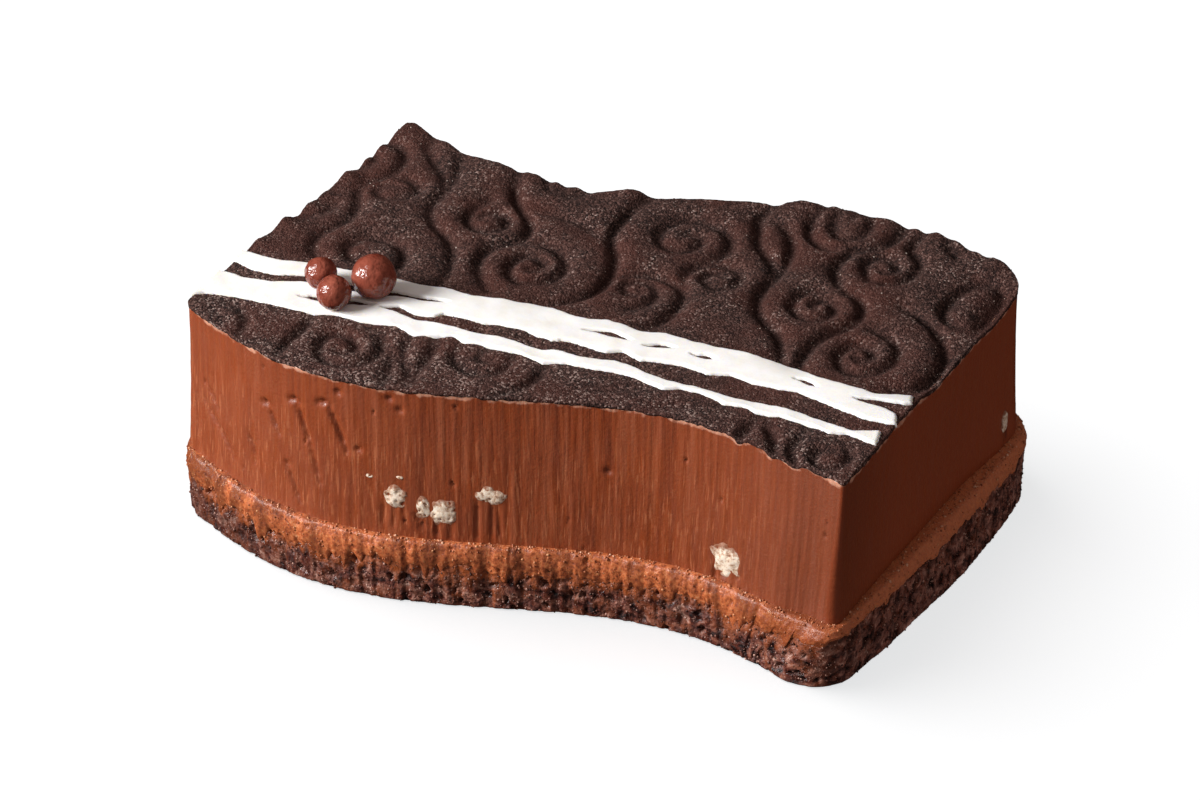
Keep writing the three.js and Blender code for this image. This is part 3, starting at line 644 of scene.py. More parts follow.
# The embossed pattern: each valley's share of the depth, and the places that it passes, in millimetres.
VALLEYS = [
    (0.7, [
        (-43.9, 27), (-41.8, 24.2), (-41.2, 22), (-39.8, 20), (-37.8, 18), (-36, 16.5), (-34.4, 15),
        (-33, 12.5),
    ]),
    (0.8, [
        (-37.2, 24.5), (-35.6, 21.5), (-34, 18), (-32.9, 14.5), (-32.4, 11), (-32, 8), (-31, 5.5),
        (-29.3, 3.6), (-27, 2), (-25, 0.6), (-23.4, -1.2), (-21.8, -4), (-20.5, -7), (-20, -10),
    ]),
    (1.0, [
        (-48, 20.4), (-45.5, 20), (-43.8, 19.2), (-42.4, 17.4), (-41.7, 15), (-41.7, 12.8), (-42.6, 10.8),
        (-44, 9),
    ]),
    (0.8, [(-48.5, 16.7), (-46.6, 16), (-46, 14.5), (-46.7, 12.8), (-48.5, 12)]),
    (0.75, [
        (-41.5, 12), (-39.5, 12.2), (-37.5, 11.9), (-36.2, 10.8), (-35.9, 9.2), (-36.6, 7.7), (-38, 6.8),
        (-39.8, 6.8), (-41, 8), (-40.8, 9.5), (-39.5, 10),
    ]),
    (0.9, [
        (-43.6, 9), (-43.2, 6.5), (-41.8, 4), (-40.6, 1.5), (-40.1, -1), (-40.7, -3.5), (-41.2, -6),
        (-40.9, -8.5), (-39.5, -10.8), (-37, -12),
    ]),
    (0.5, [(-46.8, -3), (-45.3, -2), (-44.2, -0.2), (-44.3, 2), (-45.5, 3.3)]),
    (0.9, [(-35.2, -4.3), (-33.7, -3.7), (-32, -3.5), (-30, -4.1), (-28.5, -5.4), (-27.6, -7), (-27, -9.5)]),
    (0.9, [(-35.2, -4.3), (-36.2, -6.8), (-35.6, -8.5), (-34, -9.8), (-32, -10)]),
    (1.0, [
        (-26.3, 23.5), (-25.7, 21), (-25, 19), (-23.9, 16.7), (-22.6, 14.7), (-20.8, 13), (-18.9, 11.3),
        (-17.3, 9.3), (-16.6, 7.2), (-17, 5.2), (-18, 3.5), (-19.5, 2.4),
    ]),
    (0.9, [
        (-25.7, 13.2), (-26.4, 11), (-26.5, 9), (-26, 7.2), (-24.8, 5.9), (-23, 5.3), (-21.4, 6),
        (-20.5, 7.6), (-20.9, 9.4), (-22.4, 10.5), (-24, 10.3), (-24.9, 9.2), (-24.4, 8),
    ]),
    (0.9, [(-20.6, 24.5), (-21, 21.8), (-20.7, 20), (-19.3, 19), (-18.4, 19.9), (-18.3, 21.3), (-18.9, 23)]),
    (0.9, [(-14.6, 25), (-14.8, 22), (-15.3, 20.3), (-16.5, 19.3), (-18, 19.2)]),
    (0.4, [(-20.5, 13.2), (-17.5, 13.5), (-14, 13.7), (-10.5, 13.1), (-7.6, 11.8)]),
    (1.0, [
        (-13.6, -8), (-15.6, -6.3), (-17.3, -4.3), (-18.6, -2.2), (-19.2, 0.2), (-18.8, 2.4), (-17.3, 4.6),
        (-15, 5.9), (-12.5, 6.1), (-10.2, 5.2), (-8.4, 3.6), (-7.4, 1.4), (-7.5, -0.9), (-8.8, -2.8),
        (-11, -3.9), (-13, -3.2), (-14.3, -1.4), (-14.6, 0.6), (-13.9, 2.4), (-12.3, 2.7), (-10.8, 1.7),
        (-10.4, 0.3), (-11.3, -0.8),
    ]),
    (1.1, [
        (-4.8, 26.5), (-6.3, 23.5), (-7.1, 20), (-6.9, 16), (-6.4, 13), (-5, 10.5), (-3.5, 8.5), (-2, 5.5),
        (-1.1, 2.5), (-0.9, 0), (-1.4, -2.5), (-2.8, -4.8), (-4.5, -6.6), (-6.5, -8),
    ]),
    (0.9, [
        (8.4, 12.6), (9.3, 14.6), (9.3, 17), (8.5, 19.3), (6.8, 21.1), (4.4, 22), (1.8, 21.7), (-0.2, 20.3),
        (-1.1, 18.2), (-0.8, 16), (0.5, 14.3), (2.4, 13.5), (4.2, 14), (5.2, 15.5), (5.2, 17.2), (4.2, 18.4),
        (2.9, 18.2),
    ]),
    (0.9, [
        (9.5, -6), (10.3, -3.5), (10.5, -0.5), (10.2, 2.3), (8.9, 4.6), (6.6, 5.9), (3.8, 6.2), (1.3, 5.3),
        (-0.6, 3.6),
    ]),
    (0.85, [
        (5.2, -2.9), (6.3, -1.4), (6.7, 0.5), (6.2, 2.4), (4.9, 3.9), (3.1, 4.2), (1.7, 3.2), (1.7, 1.7),
        (2.8, 0.7), (4, 1), (4.3, 2),
    ]),
    (0.85, [
        (8.3, 6.2), (7.5, 7.8), (7.4, 9.8), (8.2, 11.8), (9.9, 13.1), (12, 13.2), (13.7, 12.2), (14.4, 10.4),
        (14, 8.6), (12.6, 7.5), (10.9, 7.9), (9.9, 9.2), (10, 10.6), (11.1, 11.4), (12, 10.8),
    ]),
    (1.0, [
        (10.2, 35), (9.8, 31), (9.3, 28.5), (9.4, 26.3), (10.3, 24.3), (11.3, 22.2), (12.3, 20.3),
        (13.8, 18.9), (15.5, 17.4), (17, 15.7), (18, 13.5),
    ]),
    (1.0, [
        (11, 27.2), (13.2, 26.3), (15, 24.4), (16.5, 22), (17.5, 19.3), (18, 16.5), (18.1, 13.5),
        (18.2, 10.5), (18.8, 7.5), (20.3, 4.8), (22.3, 2.8), (24.5, 1.3), (26.2, -0.6), (27.6, -2.9),
        (28.6, -5),
    ]),
    (1.0, [(22, 24), (20, 24.1), (18.3, 25), (17, 26.4), (16.2, 28.3), (16, 30.3), (16.4, 32.4), (17.3, 35)]),
    (0.9, [
        (20.4, 35), (19, 33.2), (18.8, 31.2), (19.2, 29.4), (20.3, 28), (22, 27.7), (23.3, 28.8),
        (23.9, 30.5), (23.6, 32.3), (22.3, 33.7), (21, 33.3), (20.8, 31.8),
    ]),
    (1.0, [(27.6, 37), (28.1, 33), (28.1, 31), (27.7, 29.3), (26.8, 27.7), (25.4, 26.3), (24, 25.5)]),
    (1.0, [
        (30.8, 37), (30.9, 33), (30.8, 31), (31.2, 29), (32.4, 28), (33.5, 26.6), (34, 24.5), (33.8, 22.4),
        (33, 20.6), (31.5, 19.3),
    ]),
    (1.0, [(24.6, 25.5), (24, 23), (24, 21), (24.5, 19.2), (25.6, 17.4), (26.9, 15.8)]),
    (0.85, [
        (29.8, 19.3), (28.4, 20.7), (27.6, 22.2), (27.2, 24), (28, 25.4), (29.6, 25.6), (31, 24.8),
        (31.4, 23.3), (30.5, 22.2), (29.5, 22.6),
    ]),
    (0.9, [(33.2, 37), (34, 34.5), (35, 32.6), (36.3, 31), (37.6, 30.2)]),
    (0.6, [(36.4, 36), (37.7, 34.3), (37.8, 32.7)]), (0.8, [(41.6, 35), (41.6, 32.6), (40.6, 31)]),
    (1.0, [
        (44.6, 26.3), (42.8, 25.3), (41.8, 23.3), (41.3, 20.7), (41.4, 18), (42, 16), (43.2, 14.8),
        (44.8, 14.6),
    ]),
    (0.6, [(44.6, 26.3), (46.6, 24.5), (47.3, 21.5), (47.3, 18.5), (46.9, 16)]),
    (1.0, [
        (36.8, 14.8), (38.6, 14.3), (40.4, 13.4), (42.2, 12.3), (43.9, 10.6), (45.4, 8.6), (46.5, 6.3),
        (47.1, 3.8), (47.3, 1.2), (46.9, -1), (45.8, -2.8), (44, -4),
    ]),
    (1.0, [
        (28.3, 15), (30.2, 14.3), (31.8, 12.6), (32.6, 10.3), (32.5, 8), (31.7, 6), (30.8, 4), (30.3, 1.5),
        (30.3, -1), (30.8, -3.5), (31.5, -6),
    ]),
    (0.9, [
        (25.5, 13.7), (24, 13), (23.1, 11.3), (23.1, 9.3), (24, 7.5), (25.6, 6.4), (27.4, 6.6), (28.7, 8),
        (28.9, 9.8), (27.9, 11.3), (26.4, 11.6), (25.6, 10.4), (26.2, 9.3),
    ]),
    (0.9, [
        (35.2, 8.2), (37, 7.6), (39, 6.8), (40.5, 5.2), (41.2, 3), (41.1, 0.8), (40.1, -1.3), (38.3, -2.7),
        (36.3, -2.4), (34.8, -0.9), (34.2, 1), (34.6, 2.9), (36, 3.8), (37.6, 3.2), (38.2, 1.8), (37.5, 0.4),
        (36.5, 0.7),
    ]),
    (0.9, [
        (-47.5, -28.3), (-44, -27.6), (-41, -27.9), (-38.9, -28.8), (-37.7, -30.3), (-36.8, -32.2),
        (-36.2, -35),
    ]),
    (0.5, [(-43.5, -29.6), (-41.6, -30.8), (-40, -32.4)]),
    (1.0, [(-31.4, -22.5), (-30.6, -25), (-30.1, -27.5), (-30, -30), (-29.9, -32), (-29.4, -36)]),
    (0.95, [
        (-23.6, -23.9), (-21.4, -24.1), (-19.6, -25.3), (-18.4, -27.2), (-18.1, -29.4), (-18.9, -31.5),
        (-20.8, -33), (-23.3, -33.2), (-25, -32), (-26, -30), (-26.2, -28.2), (-25.2, -26.9), (-23.5, -26.9),
        (-22, -27.8), (-21.5, -29.3), (-22.3, -30.5), (-23.6, -30.4),
    ]),
    (0.9, [
        (-17.8, -20), (-16.6, -23), (-16.1, -25), (-15.2, -27), (-13.9, -28.7), (-12.5, -30.2), (-11.5, -33)
    ]),
    (0.9, [
        (-14.4, -20), (-13.1, -22.5), (-12.3, -24.5), (-11.9, -26.8), (-11.6, -29), (-11, -31.5), (-10.5, -34)
    ]),
    (0.8, [(-17.3, -26.8), (-16, -28.8), (-14.9, -30.8), (-14, -33), (-13.6, -36)]),
    (0.9, [
        (-9.2, -17.5), (-9.8, -20.6), (-9.7, -22.8), (-8.8, -24.8), (-7, -26.1), (-4.8, -26.4), (-3, -25.6),
        (-2.1, -23.9), (-2, -22), (-2.8, -20.4), (-4.5, -19.7), (-6, -20.5), (-6.4, -22.2), (-5.5, -23.4),
        (-4.4, -23),
    ]),
    (0.95, [
        (-2, -17.4), (0.3, -18.3), (1.9, -20), (2.7, -22.2), (2.7, -24.4), (2.1, -26.6), (1, -28.6),
        (-0.6, -31),
    ]),
    (0.5, [(10, -23), (12, -22), (14, -20.4), (16.2, -19), (18.3, -17)]),
    (0.4, [(19, -23), (21.5, -21.2), (24, -19.8), (26.5, -18.2), (28.5, -16)]),
    (1.0, [(31.7, -15.5), (31.9, -18.5), (31.9, -21), (31.9, -23.5), (32, -27)]),
    (1.0, [(31.9, -16), (33.8, -18.9), (35.6, -21), (36.7, -22.8), (37.6, -27)]),
    (1.0, [(38.4, -15.5), (38.7, -18.5), (38.5, -20.5), (38.8, -22.3), (39.8, -23.8), (41.5, -26)]),
    (0.9, [
        (42.6, -18), (44.2, -18.3), (45.6, -19.4), (46.1, -21), (45.6, -22.8), (44.2, -23.8), (42.6, -23.3),
        (41.9, -21.8), (42.3, -20.3), (43.6, -20.1),
    ]),
]
VALLEY_ASIDE = np.array([-0.5, 1.2])
STEM_STEPS = 10
END_SHARE = 0.55
SETTLING = 4
END_TAPER = 3.0
CALM_REACH = 4 * MM
CALM_FRONT = (0.55, 0.95)
CALM_BACK = 0.35
CALM_LEFT = 0.65
# The near edge of the white lines, where the relief is calm as well: places, reach and share.
LINES_SIDE = [
    (-50, -26.5), (-40.4, -24.7), (-28.9, -22.9), (-14.7, -20.9), (1.3, -18.9), (17.9, -16.8), (50, -15.8)
]
LINES_REACH = (0.8 * MM, 2.6 * MM)
LINES_CALM = 0.3
LANDS_FROM = -18.5 * MM
LANDS_TO = -12 * MM
RELIEF_SIZES = {
    "ValleyWidth": 1.25 * MM, "ValleyDepth": 0.96 * MM, "LandWidth": 3.2 * MM, "LandHeight": 0.45 * MM,
    "Lump": 4.5 * MM, "LumpDepth": 0.5 * MM,
}
# Places where the whole top stands higher or lower: x and y, reach both ways, and height, in millimetres.
SWELLS = [
    (-47.5, 5, 4, 11, -0.8), (-25, 21.5, 7, 3, 0.9), (-9, 24, 2.5, 3, 1.0), (16, 33.5, 9, 3.5, 1.0),
    (34, 34.2, 3, 3, 0.8), (41.7, 32, 2.5, 3, 0.7), (47.5, 14, 2.5, 14, -0.9), (-47.2, -12.2, 1.8, 1.5, 0.5),
    (-47.3, -5.5, 2, 1.6, 0.8), (-47, 0.4, 1.8, 1.4, 0.6), (-46.8, 4.6, 1.8, 1.2, 0.6),
    (-47, 10.2, 1.8, 1.6, 0.7),
]


def stem_path(places):
    """A smooth path through every place."""
    knots = np.array([places[0], *places, places[-1]], float)
    share = np.linspace(0, 1, STEM_STEPS)[:, None]
    parts = []
    for before, here, there, beyond in zip(knots, knots[1:], knots[2:], knots[3:]):
        bend = 2 * before - 5 * here + 4 * there - beyond
        curve = 3 * here - before - 3 * there + beyond
        parts.append(here + 0.5 * ((there - before) * share + bend * share**2 + curve * share**3))
    return np.concatenate(parts)


def helper_lines(name, paths, depths):
    """Loose edges along the paths, in metres, whose share of the depth thins out to both ends."""
    places, edges, shares = [], [], []
    for path, depth in zip(paths, depths):
        first = len(places)
        along = np.linspace(0, 1, len(path))
        places += path.tolist()
        edges += [(first + i, first + i + 1) for i in range(len(path) - 1)]
        shares += (depth * np.minimum(1, END_SHARE + END_TAPER * np.minimum(along, 1 - along))).tolist()
    mesh = bpy.data.meshes.new(name)
    mesh.from_pydata(places, edges, [])
    mesh.attributes.new("share", "FLOAT", "POINT").data.foreach_set("value", shares)
    return new_object(name, mesh)


def embossing_tree():
    """Presses the pattern into a surface from above: a steep valley on every line, and lands that swell
    between. The pattern is calmer along both long edges and at the left, the lands stay flat in front, and
    the top swells and sags."""
    numbers = "ValleyWidth ValleyDepth LandWidth LandHeight Lump LumpDepth"
    add, given = new_tree("embossing", numbers, Lines="Object", CalmLine="Object")
    place = add("InputPosition")
    flat = add("VectorMath MULTIPLY", place, (1, 1, 0))
    parts = add("SeparateXYZ", place)
    turned = 2 * math.pi / WAVE_LENGTH
    bend = add("Math SINE", add("Math MULTIPLY_ADD", parts, turned, -WAVE_SHIFT * turned))
    from_middle = add("Math MULTIPLY_ADD", bend, -WAVE_DEPTH, parts.outputs["Y"])
    calm_start = WIDTH / 2 - CALM_REACH
    calm = 1.0
    calm_front = add("MapRange", parts, 12 * MM, 30 * MM, *CALM_FRONT)
    for side, share in ((-1, calm_front), (1, CALM_BACK)):
        calm_here = add("MapRange", from_middle, side * calm_start, side * WIDTH / 2, 1, share)
        calm = add("Math MULTIPLY", calm_here, calm)
    calm_here = add("MapRange", parts, -42 * MM, -28 * MM, CALM_LEFT, 1)
    calm = add("Math MULTIPLY", calm_here, calm)
    plumpness = add("MapRange", from_middle, LANDS_FROM, LANDS_TO, 0, 1)
    shift = add("InputNamedAttribute", "shift")
    distance, depth_share = beside_lines(add, given["Lines"], flat)
    hollows = []
    for width in ("ValleyWidth", "LandWidth"):
        across = add("Math DIVIDE", distance, given[width])
        squared = add("Math MULTIPLY", across, across)
        hollows.append(add("Math POWER", add("Math SUBTRACT", 1, squared, use_clamp=True), 2))
    valley = add("Math MULTIPLY", add("Math MULTIPLY", hollows[0], given["ValleyDepth"]), depth_share)
    land = add("Math MULTIPLY", add("Math SUBTRACT", 1, hollows[1]), given["LandHeight"])
    lump = roughened(add, land, flat, given["Lump"], given["LumpDepth"], Detail=3)
    lifted = add("Math MULTIPLY", lump, plumpness)
    beside, _ = beside_lines(add, given["CalmLine"], flat)
    calm = add("Math MULTIPLY", calm, add("MapRange", beside, *LINES_REACH, LINES_CALM, 1))
    calmed = add("Math MULTIPLY", valley, calm)
    height = add("Math SUBTRACT", lifted, calmed)
    for x, y, reach_x, reach_y, swell in SWELLS:
        aside = add("VectorMath SUBTRACT", flat, (x * MM, y * MM, 0))
        shares = add("VectorMath DIVIDE", aside, (reach_x * MM, reach_y * MM, 1))
        squared = add("VectorMath DOT_PRODUCT", shares, shares)
        bell = add("Math EXPONENT", add("Math MULTIPLY", squared, -1))
        height = add("Math MULTIPLY_ADD", bell, swell * MM, height)
    settled = add("BlurAttribute", Value=height, Iterations=SETTLING)
    lifted = add("Math MULTIPLY", settled, shift)
    # How deep in a valley each place lies, kept for the cocoa's painted shade.
    in_valley = add("Math MULTIPLY", hollows[0], depth_share)
    kept = add("StoreNamedAttribute", given["Geometry"], Name="valley", Value=in_valley)
    return finish_tree(add, add("SetPosition", kept, Offset=add("CombineXYZ", Z=lifted)), given)


# Marks on the cut sides: scratches that slant down the front, and the trail that each crisp left under
# itself. A scratch is its depth share, and its places along the front and above the table, in millimetres.
SCRATCHES = [
    (0.8, [(-43.4, 21.8), (-42.2, 20.4), (-41.0, 18.9)]),
    (0.7, [(-44.0, 19.0), (-41.5, 16.8), (-39.4, 14.9), (-37.6, 13.0)]),
    (1.2, [(-31.5, 23.8), (-30.4, 22.2), (-29.3, 20.5)]),
    (1.4, [(-26.4, 26.0), (-25.6, 24.0), (-24.8, 22.0), (-24.2, 20.4)]),
    (1.6, [(-21.4, 27.0), (-20.6, 25.2), (-19.8, 23.4), (-18.9, 21.0)]),
    (1.0, [(-35.0, 18.2), (-34.4, 17.2), (-33.9, 16.2), (-33.6, 14.3)]),
    (0.9, [(-24.0, 19.6), (-23.4, 17.4), (-22.8, 15.2)]),
    (1.0, [(-28.1, 16.0), (-27.2, 14.2), (-26.4, 12.6), (-25.8, 11.4)]),
    (1.7, [(-32.2, 24.1), (-31.6, 24.2), (-31.0, 24.1)]),
    (1.7, [(-27.6, 26.3), (-26.8, 26.5), (-26.0, 26.4)]),
    (1.7, [(-23.0, 27.3), (-22.2, 27.6), (-21.2, 27.4)]),
]
# Small pits in the cut, as scratches of no length.
PITS = [(-20.1, 29.7), (-13.2, 30.1), (-11.8, 28.6), (-17.4, 21.7), (-28.1, 16.4), (13.5, 22.0)]
PIT_LENGTH = 0.25
PIT_SHARE = 2.0
# Crisps: the side they show in, place along it, height, size across and size up, in millimetres.
CRISPS = [
    ("front", -12.6, 15.3, 1.8, 1.7), ("front", -8.9, 14.2, 1.1, 1.5), ("front", -6.4, 13.7, 1.8, 1.9),
    ("front", -0.6, 16.8, 2.1, 1.4), ("front", 30.6, 12.6, 2.9, 2.3), ("right", 23.9, 13.2, 0.9, 1.4),
    ("back", -33.0, 14.6, 1.8, 1.6), ("back", -9.0, 12.6, 1.7, 1.9), ("back", 13.5, 16.2, 2.0, 1.6),
    ("back", 17.4, 13.9, 1.6, 1.5), ("left", 9.5, 13.2, 1.9, 1.7),
]
TRAIL_OFFSETS = (-0.6, -0.1, 0.5)
TRAIL_STRAY = 0.35
TRAIL_STEPS = 6
TRAIL_START = 0.7
TRAIL_END = (-0.2, 2.2)
TRAIL_SEED = 5
TRAIL_SHARE = (0.35, 1.15)


def mousse_outset(height):
    """How far the mousse stands out at this height: it spreads at its foot."""
    rise = np.clip((height - PRALINE_TOP) / (MOUSSE_TOP - PRALINE_TOP), 0, 1)
    return FOOT_OUTSET * (1 - rise) ** FOOT_CURVE


def on_side(side, along, height):
    """A place on the mousse's side, and the direction that points out of it."""
    if side in ("front", "back"):
        sign = -1 if side == "front" else 1
        slope = (wave_at(along + MM) - wave_at(along - MM)) / (2 * MM)
        out = Vector((-sign * slope, sign, 0)).normalized()
        place = Vector((along, sign * WIDTH / 2 + wave_at(along), height))
    else:
        sign = -1 if side == "left" else 1
        out = Vector((sign, 0, 0))
        side_y, side_x = np.array(MOUSSE_SIDE).T * MM
        leans = float(np.interp(along, side_y, side_x) * (1 - smooth(height, MOUSSE_FOOT, CAKE_TOP)))
        place = Vector((sign * LENGTH / 2 + max(sign, 0) * leans, along, height))
    return place + out * float(mousse_outset(height)), out


def on_cut(side, course):
    """Places along a side and above the table, in millimetres, put on the cut of that side."""
    return np.array([on_side(side, along * MM, height * MM)[0] for along, height in course])


def mousse_material():
    """Chocolate mousse: satin, a little translucent, with upright streaks that the knife left. Its colour
    holds painted highlights on threads and the rim, and painted shade in hollows and at the front's right
    end.
    """
    made, add, surface = new_material(
        "chocolate_mousse", Subsurface_Weight=0.2, Subsurface_Scale=1.2 * MM,
        Subsurface_Radius=(1.0, 0.4, 0.2),
    )
    place = add("TexCoord").outputs["Object"]
    drawn = add("Mapping", place, Scale=(1, 1, 0.035))
    wide = add("TexNoise", drawn, Scale=1 / (1.3 * MM), Detail=4, Roughness=0.6)
    fine = add("TexNoise", drawn, Scale=1 / (0.4 * MM), Detail=3, Roughness=0.6)
    thread = add("TexNoise", add("Mapping", place, Scale=(1, 1, 0.015)), Scale=1 / (0.22 * MM), Detail=1)
    cloud = add("TexNoise", place, Scale=1 / (7 * MM), Detail=3)
    end = add("SeparateXYZ", place)
    loose = add("VectorMath LENGTH", add("Attribute", attribute_name="outward").outputs["Vector"])
    at_end = add("MapRange", loose, 0.9, 0.3, 0, 0.85)
    contrast = add("MapRange", at_end, 0, 0.85, 1, 0.25)
    quiet = add("MapRange", end, -20 * MM, -4 * MM, 0.75, 1.15)
    contrast = add("Math MULTIPLY", contrast, quiet)
    quiet = add("MapRange", end, 26 * MM, 40 * MM, 1, 0.45)
    contrast = add("Math MULTIPLY", contrast, quiet)
    streak = add("Math MULTIPLY_ADD", add("Math SUBTRACT", wide, 0.5), contrast, 0.5)
    colour = add("ValToRGB", streak, stops=[(0.3, "#733116"), (0.5, "#863c19"), (0.72, "#9a5131")])
    # Painted highlights: thin threads turn lighter, more so lower down and less towards the right end.
    low = add("MapRange", end.outputs["Z"], 29.5 * MM, 22 * MM, 0, 0.45)
    faded = add("MapRange", end, 28 * MM, 44 * MM, 1, 0.2)
    lit = add("Math MULTIPLY", add("MapRange", thread, 0.58, 0.68, 0, low), faded)
    shaded = coated(add, "#81391a", (end.outputs["Y"], -24 * MM, -8 * MM, 1, "#984420"))
    relief = add("Attribute", attribute_name="relief")
    rim = add("Attribute", attribute_name="shift")
    # Painted highlight: pale flecks along the rim, where the cut edge catches the light.
    painted_highlight_flecks = add("TexNoise", place, Scale=1 / (1.7 * MM), Detail=4)
    reach = add("Math MULTIPLY", rim.outputs["Fac"], painted_highlight_flecks)
    # Clouds, a light left end, painted highlights on threads and painted shade at the right end of the front,
    # then the quiet right side, painted shade in the hollows and painted highlight in pale flecks at the rim.
    mixed = coated(
        add, colour, (cloud, 0.35, 0.7, 0.5, "#803f26"), (end, -14 * MM, -34 * MM, 0.12, "#94533b"),
        (lit, 0, 1, 1, "#b46d48"), (end, 24 * MM, 44 * MM, 0.45, "#764331"),
    )
    rimmed = coated(
        add, mixed, (at_end, 0, 1, 1, shaded), (relief.outputs["Fac"], -0.13, -0.34, 0.7, "#4f1d0f"),
        (reach, 0.37, 0.5, 0.75, "#d29a80"),
    )
    rough = add("MapRange", fine, 0.3, 0.7, 0.34, 0.54)
    grain = add("TexNoise", place, Scale=1 / (0.45 * MM), Detail=3)
    both = add("Math MULTIPLY_ADD", add("Math MULTIPLY_ADD", wide, 0.6, fine), contrast, grain)
    bump = add("Bump", Height=both, Strength=0.5, Distance=0.13 * MM)
    feed(surface, {"Base Color": rimmed, "Roughness": rough, "Normal": bump})
    return made


scroll_paths = [stem_path(places) + VALLEY_ASIDE for _, places in VALLEYS]
scroll_lines = helper_lines(
    "scroll_lines", [np.column_stack([path, np.zeros(len(path))]) * MM for path in scroll_paths],
    [share for share, _ in VALLEYS],
)
calm_line = helper_lines("calm_line", [np.array([(x, y, 0) for x, y in LINES_SIDE]) * MM], [1])
scratches = [on_cut("front", course) for _, course in SCRATCHES]
trails, trail_depths = [], []
chance = np.random.default_rng(TRAIL_SEED)
for side, along, height, across, tall in CRISPS:
    for offset in TRAIL_OFFSETS:
        start, end = offset * across + chance.normal(0, TRAIL_STRAY, 2)
        top = height - TRAIL_START * tall
        low = PRALINE_TOP / MM + chance.uniform(*TRAIL_END)
        course = zip(along + np.linspace(start, end, TRAIL_STEPS), np.linspace(top, low, TRAIL_STEPS))
        trails.append(on_cut(side, course))
        trail_depths.append(chance.uniform(*TRAIL_SHARE))
pits = [on_cut("front", [(along, z), (along + PIT_LENGTH, z)]) for along, z in PITS]
depths = [depth for depth, _ in SCRATCHES] + [PIT_SHARE] * len(pits) + trail_depths
cut_marks = helper_lines("cut_marks", scratches + pits + trails, depths)

mousse_finish = mousse_material()
emboss_tree = embossing_tree()
side_heights = np.linspace(MOUSSE_FOOT, CAKE_TOP - RIM_REACH, SIDE_ROWS)
rim_heights = np.linspace(CAKE_TOP - RIM_REACH, CAKE_TOP - COCOA_DUST, RIM_ROWS)[1:]
levels = [(MOUSSE_FOOT, -LID_INSET, 0.0, 0.0)]
levels += [
    (
        height, float(mousse_outset(height)), 1.0,
        float(smooth(height, CAKE_TOP - RIM_REACH, CAKE_TOP - COCOA_DUST)),
    )
    for height in [*side_heights, *rim_heights]
]
levels += [(CAKE_TOP - COCOA_DUST, -RIM_TUCK, 0.0, 1.0), (CAKE_TOP - LID_SUNK, -LID_TUCK, 0.0, 0.0)]
mousse_plan = outline(0, MOUSSE_CORNERS, MOUSSE_COLUMNS, trim=END_TRIM)
mousse_foot = outline(0, MOUSSE_CORNERS, MOUSSE_COLUMNS, MOUSSE_SIDE, MOUSSE_TRIM)
mousse = layer("mousse", mousse_plan, levels, (mousse_foot, MOUSSE_FOOT, CAKE_TOP))
shape(mousse, emboss_tree, Lines=scroll_lines, CalmLine=calm_line, Material=mousse_finish, **RELIEF_SIZES)
shape(
    mousse, cut_tree, Rib=1.1 * MM, RibDepth=0.22 * MM, Streak=0.45 * MM, StreakDepth=0.14 * MM,
    Crumb=3.0 * MM, CrumbDepth=0.16 * MM, Pit=1.0 * MM, PitDepth=0.3 * MM, PitShare=0.012, Marks=cut_marks,
    MarkWidth=0.42 * MM, MarkDepth=0.34 * MM, Proud=0.15 * MM, Material=mousse_finish,
)
take_place(mousse, "mousse_layer")


# The puffed crisps.
# Puffed cereal that was stirred into the mousse. The knife went through some of it, so it shows in the cut
# sides as cream-white, cut open and full of holes.
CRISP_PROUD = 0.3 * MM
CRISP_THICKNESS = 1.2 * MM
CRISP_SPREAD = 1.5
CRISP_SHOWN = 0.6
BALL_CUTS = 5
BITS = [("front", -15.8, 18.0, 0.45, 0.3), ("front", -11.9, 18.5, 0.4, 0.25)]


def ball(size, place, turn):
    """The points and faces of a ball of this size in three directions, turned and put in its place."""
    made = bmesh.new()
    bmesh.ops.create_icosphere(made, subdivisions=BALL_CUTS, radius=1)
    bmesh.ops.transform(
        made, matrix=Matrix.Translation(place) @ turn @ Matrix.Diagonal((*size, 1)), verts=made.verts
    )
    places = np.array([v.co for v in made.verts])
    faces = [[v.index for v in face.verts] for face in made.faces]
    made.free()
    return places, faces


def joined(balls):
    """All the balls as one lot of points and faces."""
    places, faces = [], []
    for some, theirs in balls:
        first = sum(len(p) for p in places)
        places.append(some)
        faces += [[first + i for i in face] for face in theirs]
    return np.concatenate(places), faces


def puffing_tree():
    """Swells a smooth lump into lobes, and opens round holes in it."""
    add, given = new_tree("puffing", "Lobe LobeDepth Hole HoleDepth")
    place = add("InputPosition")
    scale = add("Math DIVIDE", 1, given["Lobe"])
    lobes = add("TexVoronoi", place, Scale=scale, feature="SMOOTH_F1")
    swollen = add("Math MULTIPLY", add("MapRange", lobes, 0, 0.8, 0.4, -0.6), given["LobeDepth"])
    scale = add("Math DIVIDE", 1, given["Hole"])
    cells = add("TexVoronoi", place, Scale=scale)
    hole = add("MapRange", cells, 0.5, 0.1, 0, 1, interpolation_type="SMOOTHSTEP")
    chosen = add("Math LESS_THAN", add("SeparateXYZ", cells.outputs["Color"]), 0.4)
    sunk = add("Math MULTIPLY", add("Math MULTIPLY", hole, chosen), given["HoleDepth"])
    total = add("Math SUBTRACT", swollen, sunk)
    offset = add("VectorMath SCALE", add("InputNormal"), Scale=total)
    return finish_tree(add, add("SetPosition", given["Geometry"], Offset=offset), given)


